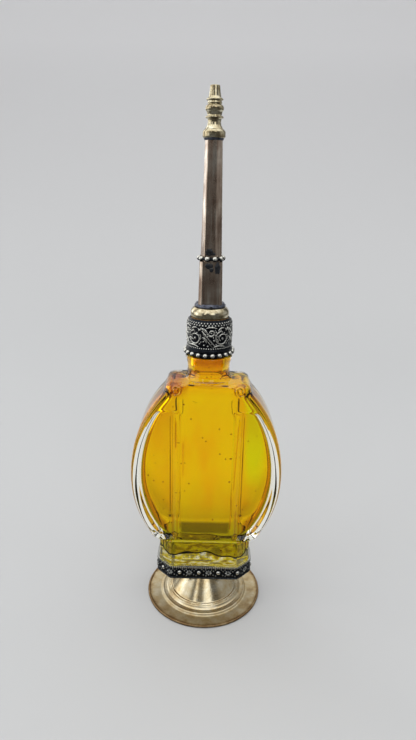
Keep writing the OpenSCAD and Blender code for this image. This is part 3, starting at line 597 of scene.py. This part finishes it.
# %% Patinated sheet
# Handled for years: grey with brown streaks of 1 mm along the fold, duller where it is brown.
grey_patina, tree, shader, place = new_material("patinated_sheet_brass")
tall = add(tree, "Mapping", {"Vector": place, "Scale": (1.0, 1.0, 0.06)})
streaks = add(tree, "TexNoise", {"Vector": tall, "Scale": grain(1.11111), "Detail": 4.0})
blots = add(tree, "TexNoise", {"Vector": place, "Scale": grain(6.25), "Detail": 5.0})
both = add(tree, "Mix", {"Factor": 0.45, "A": streaks, "B": blots})
tone = add(tree, "ValToRGB", {"Fac": both}, [(0.34, "#7C695C"), (0.5, "#AA9889"), (0.66, "#D2C9BC")])
dull = add(tree, "MapRange", {"Value": both, "From Min": 0.35, "From Max": 0.65, "To Min": 0.3,
                              "To Max": 0.17})
bump = add(tree, "Bump", {"Height": both, "Strength": 0.15, "Distance": 0.2 * MM})
add(tree, shader, {"Base Color": tone, "Roughness": dull, "Metallic": 1.0, "Normal": bump})
print("stem:", grey_patina.name)

# %% Blackened relief
# Black from the bath, rubbed bright on top: the colour follows the height, broken by grains of 0.7 mm.
dark_relief, tree, shader, place = new_material("blackened_rubbed_brass")
# On the bead rings this attribute is a painted highlight and shade, not a height.
finish_and_painted_light = add(tree, "Attribute", attribute_name="finish_and_painted_light").outputs["Fac"]
wear = add(tree, "TexNoise", {"Vector": place, "Scale": grain(0.714286), "Detail": 3.0})
worn = add(tree, "Math", {0: wear, 1: 0.6, 2: finish_and_painted_light}, operation="MULTIPLY_ADD")
tone = add(tree, "ValToRGB", {"Fac": worn},
           [(0.22, "#12151A"), (0.45, "#262B31"), (0.7, "#777B7B"), (1.0, "#CFCFC8")])
dull = add(tree, "MapRange", {"Value": worn, "From Min": 0.3, "From Max": 1.0, "To Min": 0.36,
                              "To Max": 0.18})
add(tree, shader, {"Base Color": tone, "Roughness": dull, "Metallic": 0.9})
print("band and collar:", dark_relief.name)

# %% Solder, flux, brass, cork and plaster
# Old tin solder: grey-blue and lumpy, only half bright
soft_solder = mottled("oxidised_soft_solder", 2.0, 3.0, [(0.35, "#2A2E38"), (0.65, "#6C7180")], 0.38, 0.8,
                      (0.4, 0.4 * MM))[0]
# Flux that burnt while the stem was soldered: a black glassy crust
burnt_flux = mottled("burnt_flux_and_solder", 1.25, 3.0, [(0.4, "#0C0E13"), (0.7, "#33363D")], 0.3, 0.0,
                     (0.5, 0.4 * MM))[0]
# Brass as the tool left it: yellow and satin, never polished because it is hidden
raw_brass = mottled("raw_machined_brass", 2.5, 2.0, [(0.3, "#9A7A3C"), (0.7, "#C4A45C")], 0.35, 1.0)[0]
# Moulding plaster: matt and chalky, with fine grit; rays through the glass find a painted olive glow on it
plaster, tree, shader, _ = mottled("moulding_plaster", 1.11111, 4.0, [(0.3, "#B9B09A"), (0.7, "#D9D3C4")],
                                   0.8, 0.0, (0.3, 0.2 * MM))
lit_in_glass(tree, shader, "#625E44", 0.8)
# Pressed cork: brown grains of 0.7 mm, quite matt
cork, tree, shader, place = new_material("pressed_cork")
grains = add(tree, "TexVoronoi", {"Vector": place, "Scale": grain(0.714286)})
tone = add(tree, "ValToRGB", {"Fac": grains}, [(0.0, "#6B4526"), (0.5, "#B08858")])
add(tree, shader, {"Base Color": tone, "Roughness": 0.85})
print("hidden finishes:", [m.name for m in (soft_solder, burnt_flux, raw_brass, plaster, cork)])

# %% [markdown]
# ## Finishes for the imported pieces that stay
# The tray, the solder, the cement, the threaded bush and the washer already have the right shape, so
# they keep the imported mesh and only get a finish.

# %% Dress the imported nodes
for node_name, finish in {"foot_solder": soft_solder, "base_tray": raw_brass, "base_cement": plaster,
                          "neck_cement": plaster, "neck_insert": raw_brass, "seal_washer": cork,
                          "stem_solder": soft_solder}.items():
    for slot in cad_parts[node_name].material_slots:
        slot.material = finish
    print(node_name, "->", finish.name)

# %% [markdown]
# ## The foot
# A disc of nickel silver is pressed over a turning former until it has a flat brim, a step, a ridge
# and a steep cone; last its rim is rolled under. The same outline turned round the axis makes it here,
# with the corners eased as a spinner leaves them.

# %% Spin the foot
FOOT_R, FOOT_H, SHEET, ROLL = 33.9, 17.5, 0.9, 0.8
top_line = [[0, FOOT_H], [9.6, FOOT_H], [10.2, FOOT_H - 0.5], [18.9, 5.1], [19.2, 4.75], [19.5, 4.8],
            [19.9, 4.75], [20.2, 4.3], [20.45, 4.1], [20.8, 4.1], [21.1, 3.8], [21.6, 3.0], [22.3, 2.5],
            [23.6, 2.25], [23.9, 2.2], [24.2, 2.4], [24.8, 2.4], [25.2, 2.1], [25.5, 1.3], [25.9, 1.05],
            [26.8, 1.02], [30.9, 1.2], [FOOT_R - 1.5, 1.3], [FOOT_R - 1.1, 1.2], [FOOT_R - 0.8, 1.55]]
rim_turn = np.radians(np.arange(60, -241, -30))
rim_line = np.stack([FOOT_R - ROLL + ROLL * np.cos(rim_turn), ROLL + ROLL * np.sin(rim_turn)], 1)
rim_line[:, 1] = np.maximum(rim_line[:, 1], 0.0)
under_line = [[30.8, 0.35], [25.9, 0.25], [24.4, 1.2], [22.9, 1.4], [21.0, 1.9], [19.9, 3.0],
              [18.9, 3.4], [9.2, FOOT_H - SHEET], [0, FOOT_H - SHEET]]
foot_line = spaced(np.concatenate([eased(top_line, 0.2, 3), rim_line, eased(under_line, 0.5, 3)]), 0.8)
make_piece("foot_shell_spun", [(lathe(foot_line, 144), False, True, 0)], [nickel_silver], "vessel",
           ["foot_shell"])

# %% [markdown]
# ## The gallery band
# A strip of brass was stamped with stars and studs in turn, wrapped round the base as a rectangle with
# cut corners, and soldered. The strip is a grid along the band's path: each point moves outwards by
# the height of the stamp at that place. The stamp is a formula that repeats.

# %% The stamp's height
BAND_HW, BAND_HD, BAND_CUT, BAND_SHEET = 27.5, 14.3, 8.0, 0.9
BAND_Z, BAND_H, PITCHES, ROUND_BAND = 17.8, 8.4, 26, 832
STAR_R, DOME_R, MIDDLE_Z = 2.2, 1.2, 4.35


def dome(du, dv, radius):
    """Height of a half ball of the given radius, as a share of it: the root of 1 - (distance / radius)^2."""
    return np.sqrt(np.clip(1 - (du**2 + dv**2) / radius**2, 0, 1))


def band_stamp(s, z, pitch):
    """Stars at even places, domes at odd ones, small dots between them. A star's radius swings with
    the cosine of eight times the angle. Gives the stamp, its dim parts, the teeth and the low edge."""
    zs = z - MIDDLE_Z
    star_s = (s - 0.5 * pitch + pitch) % (2 * pitch) - pitch
    dome_s = (s - 1.5 * pitch + pitch) % (2 * pitch) - pitch
    dot_s = (s + 0.5 * pitch) % pitch - 0.5 * pitch
    rho, angle = np.hypot(star_s, zs), np.arctan2(zs, star_s)
    reach = STAR_R * (0.4 + 0.6 * np.abs(np.cos(4 * angle)))
    star = 0.6 * steps(rho, reach, reach * 0.7) * steps(rho, 0.3, 0.8) + 0.3 * steps(rho, 0.4, 0.2)
    dots = sum(0.35 * dome(dot_s - a, zs - b, r) for a, b, r in (
        (0, 1.2, 0.5), (-1.1, 2.2, 0.45), (1.1, 2.2, 0.45), (-0.2, -1.5, 0.5), (1.3, -2.1, 0.5)))
    teeth = 0.35 * (0.5 + 0.5 * np.cos(2 * np.pi * s / (pitch / 5))) * steps(z, BAND_H - 1.3, BAND_H - 1.0)
    low_edge = 0.3 * steps(z, 1.1, 0.8) * steps(z, 0.0, 0.25)
    stamp = np.maximum(np.maximum(star, 0.85 * dome(dome_s, zs, DOME_R)), dots)
    return stamp, 0.4 * np.minimum(star, 0.5), teeth, low_edge


# %% Build the band
side, end = BAND_HW - BAND_CUT, BAND_HD - BAND_CUT
plan = np.array([[0, -BAND_HD], [side, -BAND_HD], [BAND_HW, -end], [BAND_HW, end], [side, BAND_HD],
                 [-side, BAND_HD], [-BAND_HW, end], [-BAND_HW, -end], [-side, -BAND_HD]])
plan = eased(plan, [0.01] + [1.9] * 8, 7, closed=True)
loop = np.concatenate([plan, plan[:1]])
length = np.concatenate([[0], np.cumsum(np.linalg.norm(np.diff(loop, axis=0), axis=1))])
s = np.arange(ROUND_BAND) / ROUND_BAND * length[-1]
px, py = np.interp(s, length, loop[:, 0]), np.interp(s, length, loop[:, 1])
tx, ty = np.roll(px, -1) - np.roll(px, 1), np.roll(py, -1) - np.roll(py, 1)
size = np.hypot(tx, ty)
out_x, out_y = ty / size, -tx / size
zz = np.concatenate([[0.0, 0.0], np.linspace(0.15, BAND_H - 0.15, 44), [BAND_H, BAND_H]])
stamp, dim, teeth, low_edge = band_stamp(s[None, :], zz[:, None], length[-1] / PITCHES)
out = stamp + teeth + low_edge
out[0], out[1], out[-2], out[-1] = -BAND_SHEET, -0.15, -0.1 + teeth[-3], -BAND_SHEET
shine = np.clip(stamp * 1.7 - dim * 2.2 + teeth * 3.5 + low_edge * 0.7, 0, 1)
shine[[0, -1]] = 0.9
shine[-2] = 0.75 + teeth[-3]
band_grid = np.stack([px + out_x * out, py + out_y * out, BAND_Z + zz[:, None] + 0 * out], -1)
make_piece("gallery_band_stamped", [(band_grid, True, True, 0, shine)], [dark_relief], "vessel",
           ["gallery_band"])

# %% [markdown]
# ## The collar
# The collar is a sleeve stamped with scrolling tendrils, leaves and dots. The tendrils are strokes:
# spirals and curves written as formulas, with a width at each point. A vertex of the sleeve stands out
# by its distance to the nearest stroke, and the motif repeats five times round the neck.

# %% The strokes of one motif
SLEEVE_R, SLEEVE_Z, MOTIFS, ROUND_MOTIF = 11.6, 155.55, 5, 96
MOTIF_W = 2 * math.pi * SLEEVE_R / MOTIFS


def spiral_stroke(cu, cv, r0, r1, a0, turns, w0, w1, n=90):
    """A spiral about (cu, cv): the radius goes evenly from r0 to r1 while the angle turns."""
    t = np.linspace(0, 1, n)
    a = np.radians(a0) + 2 * np.pi * turns * t
    r = r0 + (r1 - r0) * t
    return np.stack([cu + r * np.cos(a), cv + r * np.sin(a), w0 + (w1 - w0) * t], 1)


def curve_stroke(p0, p1, p2, w0, w1, w2, n=70):
    """A curve from p0 to p2 drawn towards p1, whose width passes from w0 through w1 to w2."""
    t = np.linspace(0, 1, n)[:, None]
    p = np.array(p0) * (1 - t) ** 2 + 2 * np.array(p1) * t * (1 - t) + np.array(p2) * t**2
    w = w0 * (1 - t) ** 2 + 2 * w1 * t * (1 - t) + w2 * t**2
    return np.concatenate([p, w], 1)


tendrils = [spiral_stroke(10.6, 5.6, 3.9, 1.5, 100, 1.35, 0.42, 0.32),
            spiral_stroke(4.9, 8.6, 1.9, 0.8, 200, 0.95, 0.62, 0.34)]
leaves = [curve_stroke(*leaf) for leaf in (
    ((0.2, 9.4), (2.6, 6.2), (7.2, 1.2), 0.3, 0.42, 0.3),
    ((0.5, 8.6), (1.6, 5.6), (5.6, 1.0), 0.2, 0.34, 0.2),
    ((6.4, 1.2), (9.0, 2.4), (12.6, 0.9), 0.3, 0.9, 0.2),
    ((-0.6, 10.6), (1.6, 10.4), (3.0, 8.2), 0.3, 1.35, 0.2),
    ((0.4, 6.2), (1.7, 5.6), (2.6, 3.4), 0.2, 1.1, 0.2),
    ((12.4, 10.6), (13.6, 9.0), (14.2, 11.2), 0.2, 0.7, 0.2),
    ((2.2, 10.9), (4.4, 12.2), (7.6, 10.9), 0.2, 0.5, 0.2),
    ((7.9, 3.4), (8.9, 4.6), (7.4, 5.6), 0.2, 0.7, 0.2),
    ((13.2, 4.6), (14.3, 5.6), (13.9, 7.6), 0.2, 0.8, 0.2),
    ((8.4, 9.6), (9.4, 11.4), (11.6, 11.0), 0.2, 0.6, 0.2))]
large_dots = [(10.8, 5.4, 0.75), (7.3, 8.9, 0.6), (6.3, 4.6, 0.62), (3.2, 1.6, 0.5), (1.2, 2.0, 0.5),
              (8.2, 6.6, 0.42), (13.4, 2.6, 0.5), (9.6, 10.4, 0.45), (0.9, 4.0, 0.4), (5.2, 2.9, 0.4),
              (11.9, 8.3, 0.45), (4.9, 8.5, 0.42)]
small_dots = [(u, v, 0.36) for u, v in (
    (2.4, 4.4), (4.2, 4.2), (6.9, 7.4), (5.9, 6.2), (3.0, 6.8), (12.9, 9.6), (2.0, 7.6),
    (6.9, 10.0), (10.6, 8.9), (13.1, 7.2), (9.2, 2.9), (11.2, 2.4), (14.2, 3.6), (7.4, 2.6))]
dot_rows = [(k * MOTIF_W / count + start, v, width)
            for count, start, v, width in ((9, 0.4, 12.2, 0.5), (9, 1.2, 13.3, 0.42), (12, 0, 0.1, 0.42))
            for k in range(count)]
strokes = np.concatenate([*tendrils, *leaves, np.array(large_dots + small_dots + dot_rows)])
print("points in the strokes:", len(strokes))


def stroke_height(u, v):
    """Greatest of 1 - (distance / width)^2 over all strokes, which rounds each of them like a wire."""
    du = np.abs(u[..., None] - strokes[:, 0])
    du = np.minimum(du, MOTIF_W - du)
    d2 = (du**2 + (v[..., None] - strokes[:, 1]) ** 2) / strokes[:, 2] ** 2
    return np.clip(1 - d2.min(-1), 0, 1) ** 0.7


# %% Build the sleeve
MOTIF_Z, RELIEF_H, FIRST_MOTIF = 1.5, 0.42, -1.9
u = np.arange(ROUND_MOTIF) / ROUND_MOTIF * MOTIF_W
wall = [[10.7, 0.0], [12.0, 0.0], [12.0, 0.35], [11.65, 0.8], [11.42, 1.7], [11.6, 3.2], [11.78, 8.5],
        [11.62, 13.6], [11.35, 14.6], [10.7, 15.5], [10.3, 16.1], [10.0, 16.1], [10.0, 15.4], [10.7, 15.4]]
wall = spaced(eased(wall, 0.4, 3), 0.2)
wall = np.concatenate([wall[:-1], spaced(wall[[-1, 0]], 4)])
lift = stroke_height(u[None, :] + 0 * wall[:, :1], wall[:, 1:2] - MOTIF_Z + 0 * u[None, :])
outside = np.argmax(wall[:, 1]) >= np.arange(len(wall))
lift = np.tile(lift * (outside & (wall[:, 1] > 1.0) & (wall[:, 1] < 15.3))[:, None], (1, MOTIFS))
angle = np.arange(ROUND_MOTIF * MOTIFS) / (ROUND_MOTIF * MOTIFS) * 2 * np.pi + FIRST_MOTIF
radius = wall[:, :1] + RELIEF_H * lift
height = SLEEVE_Z + wall[:, 1:2] + 0 * radius
sleeve_grid = np.stack([radius * np.cos(angle), radius * np.sin(angle), height], -1)
make_piece("collar_sleeve_stamped", [(sleeve_grid, True, True, 0, lift * 0.85)], [dark_relief], "vessel",
           ["collar_sleeve"])

# %% [markdown]
# ## Beaded wires
# Beaded wire is drawn through a die that leaves a row of balls joined by a neck. One ring runs round
# the foot of the collar, another hides the joint of the stem.

# %% Beads and the bands they sit on
def bead_ring(count, ring_r, bead_r, z):
    """Balls at even angles from the front, each a small closed grid, and the wire between them. The
    grids' attribute is a painted highlight where a ball faces outwards or up, and painted shade below."""
    _, _, ball = globe(13, 20)
    grids = []
    for k in range(count):
        a = 2 * math.pi * (k + 0.5) / count - math.pi / 2
        outward = ball[..., 0] * math.cos(a) + ball[..., 1] * math.sin(a)
        centre = np.array([ring_r * math.cos(a), ring_r * math.sin(a), z])
        # Painted highlight on each ball's upper, outer side; painted shade under it.
        painted_highlight = steps(0.7 * outward + 0.8 * ball[..., 2], -0.1, 0.9)
        grids.append((centre + bead_r * ball, False, True, 0, painted_highlight))
    wire_r = 0.6 * bead_r
    t = np.arange(12) / 12 * 2 * np.pi
    wire = np.stack([ring_r + wire_r * np.cos(t), z + wire_r * np.sin(t)], 1)
    grids.append((lathe(wire[::-1], 120), True, True, 0, np.zeros((12, 120))))
    return grids


RIM_Z, RIM_H, RIM_R, RIM_IN, RING_Z, RING_R = 151.75, 3.8, 12.0, 10.7, 201.7, 5.9
rim_line = eased([[RIM_IN, 0], [RIM_R - 0.2, 0], [RIM_R, 0.5], [RIM_R + 0.1, 1.6], [RIM_R - 0.1, 2.8],
                  [RIM_R, 3.3], [RIM_R - 0.1, RIM_H], [RIM_IN, RIM_H]], 0.3, 3) + [0, RIM_Z]
rim_grid = lathe(rim_line, 120)
rim_tone = 0.1 + np.zeros(rim_grid.shape[:2])
for name, grids, body, replaced in (
        ("collar_rim_band", [(rim_grid, True, True, 0, rim_tone)], "vessel", "collar_rim"),
        ("collar_bead_wire", bead_ring(21, RIM_R + 0.39, 1.3, RIM_Z + 1.9), "vessel", "collar_beads"),
        ("stem_bead_ring", bead_ring(10, RING_R, 1.35, RING_Z), "spout", "stem_ring")):
    make_piece(name, grids, [dark_relief], body, [replaced])

# %% [markdown]
# ## The cap and its thread
# The cap is turned from brass bar: a low dome with a threaded stub under it, and a bore right through
# for the rosewater. The thread is one ridge carried round the stub as it climbs.

# %% Turn the cap
CAP_Z, CAP_R, CAP_H, STUB_L, ROOT_R, CHANNEL_R = 171.85, 10.0, 5.2, 8.6, 6.4, 4.4
PITCH, RIDGE_H, SUNK = 2.0, 0.7, 0.3
cap_line = [[CHANNEL_R, -STUB_L], [ROOT_R, -STUB_L], [ROOT_R, 0], [CAP_R - 0.4, 0], [CAP_R - 0.1, 0.5],
            [CAP_R, 1.4], [CAP_R, 2.4], [CAP_R - 0.25, 3.4], [CAP_R - 0.9, 4.3], [8.5, 4.9],
            [8.05, CAP_H], [CHANNEL_R, CAP_H]]
cap_grid = lathe(spaced(eased(cap_line, 0.5, 4), 1.0) + [0, CAP_Z], 120)
base_w, crest_w = 0.62 * PITCH, 0.24 * PITCH
t = np.linspace(0, (STUB_L - base_w - 0.6) / PITCH, 130)[:, None]
section = np.array([[ROOT_R - SUNK, -(base_w + 0.25) / 2], [ROOT_R + RIDGE_H, -crest_w / 2],
                    [ROOT_R + RIDGE_H, crest_w / 2], [ROOT_R - SUNK, (base_w + 0.25) / 2]])
ridge = np.stack([section[:, 0] * np.cos(2 * np.pi * t), section[:, 0] * np.sin(2 * np.pi * t),
                  CAP_Z - STUB_L + base_w / 2 + 0.1 + PITCH * t + section[:, 1]], -1)
ends = [np.broadcast_to(ridge[k].mean(0), (1, 4, 3)) for k in (0, -1)]
ridge = np.concatenate([ends[0], ridge, ends[1]])
make_piece("cap_dome_turned", [(cap_grid, True, True, 0), (ridge, False, True, 0)], [pale_brass], "spout",
           ["cap_dome"])

# %% The plate on the cap, dished and stained by flux
PLATE_Z, PLATE_R, PLATE_T = 177.05, 8.05, 1.3
plate_line = eased([[CHANNEL_R, 0], [PLATE_R - 0.25, 0], [PLATE_R, 0.35], [PLATE_R, 0.95],
                    [PLATE_R - 0.3, PLATE_T], [PLATE_R - 0.8, PLATE_T - 0.1], [6.6, 0.95],
                    [CHANNEL_R, 0.9]], 0.25, 4) + [0, PLATE_Z]
make_piece("cap_plate_dished", [(lathe(plate_line, 96), True, True, 0)], [soft_solder], "spout",
           ["cap_plate"])

# %% [markdown]
# ## The stem
# Two tubes folded from sheet brass: a square one with cut corners below, a tapered six-sided one
# above. A folded edge is never quite sharp, and it is the soft edge that catches the light, so the
# outline of each tube has eased corners before it is carried up the axis.

# %% Fold the two tubes
TUBE_WALL = 0.6
SQUARE_Z, SQUARE_L, SQUARE_HW, SQUARE_CUT, SQUARE_TOP = 178.35, 22.0, 6.1, 1.7, 5.75
HEX_Z, HEX_L, HEX_R, HEX_TOP, HEX_TURN = 200.35, 57.2, 5.6, 4.35, -10.5


def tube(outer, z0, length, top_scale, rows, top_hole=None):
    """A closed outline carried up while it narrows evenly, with an inner wall at a share of the
    outline; the top may close in to a hole."""
    rise = np.linspace(0, 1, rows)
    inner = TUBE_WALL / np.abs(outer).max()
    scales = [(1 - inner, 0.0), *zip(1 + (top_scale - 1) * rise, rise)]
    if top_hole:
        scales += [(top_hole, 1.0), (top_hole, 0.97)]
    scales += [(top_scale - inner, 0.97)]
    scale, level = np.array(scales).T
    ring = outer[None, :, :] * scale[:, None, None]
    height = np.broadcast_to((z0 + length * level)[:, None, None], (*ring.shape[:2], 1))
    return np.concatenate([ring, height], -1)


flat = SQUARE_HW - SQUARE_CUT
square = np.array([[flat, -SQUARE_HW], [SQUARE_HW, -flat], [SQUARE_HW, flat], [flat, SQUARE_HW],
                   [-flat, SQUARE_HW], [-SQUARE_HW, flat], [-SQUARE_HW, -flat], [-flat, -SQUARE_HW]])
a = np.radians(HEX_TURN + 60 * np.arange(6))
hexagon = np.stack([HEX_R * np.cos(a), HEX_R * np.sin(a)], 1)
square_grid = tube(eased(square, 0.5, 6, closed=True), SQUARE_Z, SQUARE_L, SQUARE_TOP / SQUARE_HW, 24, 0.62)
hex_grid = tube(eased(hexagon, 0.7, 8, closed=True), HEX_Z, HEX_L, HEX_TOP / HEX_R, 40)
for name, grid, replaced in (("stem_sleeve_folded", square_grid, "stem_sleeve"),
                             ("stem_tube_folded", hex_grid, "stem_tube")):
    make_piece(name, [(grid, True, True, 0)], [grey_patina], "spout", [replaced], sharp=60)

# %% [markdown]
# ## The nozzle
# Turned from brass rod: a base ring, a waist, a thin ring, a ball, a second ring and the plain mouth.

# %% Turn the nozzle
NOZZLE_Z, NOZZLE_L, TIP_R, BORE_R, SPIGOT_R = 257.55, 22.5, 2.27, 1.2, 3.07
shaft, ring_r = TIP_R + 0.85, TIP_R + 2.1
ball_turn = np.radians(np.linspace(-55, 55, 11))
ball_line = np.stack([shaft - 0.3 + 1.55 * np.cos(ball_turn), 12.7 + 1.75 * np.sin(ball_turn)], 1)
base = [[TIP_R, -3], [SPIGOT_R, -3], [SPIGOT_R, 0], [5.15, 0], [5.45, 0.5], [5.45, 2.6], [5.05, 3.3],
        [shaft + 1.3, 3.9], [shaft + 0.9, 4.4], [shaft + 0.2, 5.6], [shaft, 6.9]]
low_ring = [[shaft + 0.2, 8.2], [ring_r - 0.2, 8.45], [ring_r, 8.9], [ring_r - 0.25, 9.35],
            [shaft + 0.2, 9.7]]
bulge = [[shaft + 0.05, 14.5], [3.45, 14.8], [3.5, 15.1], [3.35, 15.4]]
top_ring = [[shaft + 0.1, 15.85], [ring_r - 0.5, 16.1], [ring_r - 0.35, 16.5], [ring_r - 0.6, 16.9],
            [shaft + 0.1, 17.2]]
mouth = [[shaft - 0.25, 17.8], [TIP_R + 0.3, 19.8], [TIP_R + 0.05, 22.3], [TIP_R - 0.15, NOZZLE_L],
         [BORE_R, NOZZLE_L], [BORE_R, 18.5], [TIP_R, 15.5]]
nozzle_line = np.concatenate([base, low_ring, ball_line, bulge, top_ring, mouth])
nozzle_grid = lathe(spaced(eased(nozzle_line, 0.22, 4), 0.5) + [0, NOZZLE_Z], 96)
make_piece("nozzle_turned", [(nozzle_grid, True, True, 0)], [pale_brass], "spout", ["nozzle"])

# %% Solder that ran down the stem
def drip(centre, size, seed):
    """A flattened ball whose radius swells by a few sines of its angles, like solder that ran and froze."""
    lat, lon, ball = globe(15, 24)
    swell = 1 + 0.18 * np.sin(3 * lon + seed) * np.cos(lat) + 0.12 * np.sin(2 * lat * seed)
    return np.array(centre) + ball * swell[..., None] * np.array(size)


drips = [drip((-1.2, -5.72, 198.2), (2.1, 0.45, 1.5), 1.0), drip((0.2, -5.75, 196.6), (1.0, 0.4, 1.2), 2.2),
         drip((3.3, -5.72, 197.2), (1.3, 0.45, 2.9), 3.1), drip((-0.9, -4.75, 205.0), (1.8, 0.5, 1.7), 4.0),
         drip((1.0, -4.8, 204.2), (1.4, 0.4, 0.9), 5.3), drip((0.5, -7.85, 177.5), (1.3, 0.4, 0.8), 6.2)]
make_piece("stem_solder_drips", [(grid, False, True, 0) for grid in drips], [burnt_flux], "spout")

# %% [markdown]
# ## Stage, light and camera
# The photograph has a pale seamless sweep and soft daylight. The sweep is one curved sheet behind the
# object. Light comes from the world, painted as a dim room with a few windows, because a dome reaches
# through glass without noise and gives metal something to mirror.

# %% Paper
def shot_material(name, low, high, seen_through):
    """Matt paper, with a steady glow of the same tone for rays through glass. The camera and the one who
    holds it shade the paper in front, which only what mirrors it shows. Gives the material."""
    material, tree, shader, place = new_material(name)
    tree.nodes.remove(shader)
    at = add(tree, "SeparateXYZ", {"Vector": place}).outputs
    # The paper is painted lighter from the floor up the wall: painted light.
    rise = add(tree, "MapRange", {"Value": at["Z"], "From Min": 0.0, "From Max": 0.5})
    paper = add(tree, "BsdfDiffuse", {"Color": add(tree, "ValToRGB", {"Fac": rise},
                                                   [(0.0, low), (1.0, high)])})
    ray = add(tree, "LightPath").outputs
    front = add(tree, "MapRange", {"Value": at["Y"], "From Min": 0.14, "From Max": -0.06, "To Max": 0.85})
    for share, colour in ((product(tree, ray["Is Transmission Ray"], 0.75), seen_through),
                          (product(tree, ray["Is Glossy Ray"], front), "#42423F")):
        glow = add(tree, "Emission", {"Color": colour, "Strength": 1.0})
        paper = add(tree, "MixShader", {0: share, 1: paper, 2: glow})
    add(tree, tree.nodes["Material Output"], {"Surface": paper})
    return material


# %% Sweep
sweep_line = eased([[-1.2, 0.0], [0.9, 0.0], [1.25, 1.6]], 0.45, 24)
across = np.linspace(-0.62, 0.62, 3)
sweep_points = np.stack(np.broadcast_arrays(across[None, :], sweep_line[:, :1], sweep_line[:, 1:]), -1)
sweep_mesh = bpy.data.meshes.new("sweep")
sweep_mesh.from_pydata(sweep_points.reshape(-1, 3).tolist(), [],
                       grid_faces(len(sweep_line), len(across), False, False).tolist())
sweep_mesh.shade_smooth()
sweep_mesh.materials.append(shot_material("pale_paper_sweep", "#C4C6C8", "#EDEEF1", "#EFEFEB"))
sweep = bpy.data.objects.new("sweep", sweep_mesh)
bpy.context.scene.collection.objects.link(sweep)
print("sweep:", len(sweep_points), "rows")

# %% World
world = bpy.data.worlds.new("soft_room")
bpy.context.scene.world = world
world.use_nodes = True
tree = world.node_tree
aim = add(tree, "TexCoord").outputs["Generated"]
aim = add(tree, "SeparateXYZ", {"Vector": aim}).outputs
to_camera = product(tree, aim["Y"], -1.0)
turn = add(tree, "Math", {0: aim["X"], 1: to_camera}, operation="ARCTAN2")
azimuth = add(tree, "Math", {0: turn}, operation="DEGREES")


def window(left, right, low, high, soft, strength):
    """Light of one window: azimuth in degrees from straight behind the camera (minus is left), its
    lower and upper edge as the height of the ray's direction, and how many degrees its edges blur."""
    blur = soft / 90
    sides = [add(tree, "MapRange", {"Value": value, "From Min": start, "From Max": end},
                 interpolation_type="SMOOTHSTEP")
             for value, start, end in (
                 (azimuth, left - soft, left + soft), (azimuth, right + soft, right - soft),
                 (aim["Z"], low - blur, low + blur), (aim["Z"], high + blur, high - blur))]
    return product(tree, *sides, strength)


# %% Light the room
# A ceiling that brightens upwards, then seven windows: wide ones at the left, narrow ones that draw
# the highlights of the stem and foot, a thin shadow between two panes and a faint glow at the right.
light = add(tree, "MapRange", {"Value": aim["Z"], "From Min": 0.5, "From Max": 0.95,
                               "To Min": 0.13, "To Max": 1.7})
ray = add(tree, "LightPath").outputs
light = add(tree, "Math", {0: light, 1: product(tree, ray["Is Transmission Ray"], 0.5)}, operation="MAXIMUM")
for pane in ((-112, -50, -0.15, 0.8, 8, 1.0), (-168, -122, -0.1, 0.6, 6, 1.9),
             (-104, -76, -0.2, 0.3, 6, 0.9), (-34, -25, 0.15, 0.8, 2, 1.6), (2, 30, 0.2, 0.75, 3, 1.4),
             (7.5, 8.5, 0.1, 0.9, 1, -1.4), (60, 125, -0.1, 0.7, 12, 0.28)):
    light = add(tree, "Math", {0: light, 1: window(*pane)}, operation="ADD")
light = add(tree, "Mix", {"Factor": ray["Is Camera Ray"], "A": light, "B": 0.6})
add(tree, tree.nodes["Background"], {"Color": (1.0, 0.99, 0.975, 1), "Strength": light})
print("world nodes:", len(tree.nodes))

# %% Camera, solved from the ellipses of the foot, the collar and the plate in the photograph
PLACE, TILT, ROLL_LEFT = (0, -0.2849, 0.2394), 18.86, 1.35
lens = bpy.data.cameras.new("camera")
lens.lens, lens.sensor_width, lens.shift_x = 27.25, 36.0, -0.0007
lens.clip_start = 0.01
camera = bpy.data.objects.new("camera", lens)
camera.matrix_world = (Matrix.Translation(PLACE) @ Matrix.Rotation(math.radians(90 - TILT), 4, "X")
                       @ Matrix.Rotation(math.radians(ROLL_LEFT), 4, "Z"))
bpy.context.scene.collection.objects.link(camera)
bpy.context.scene.camera = camera
bpy.context.scene.view_settings.view_transform = "Standard"
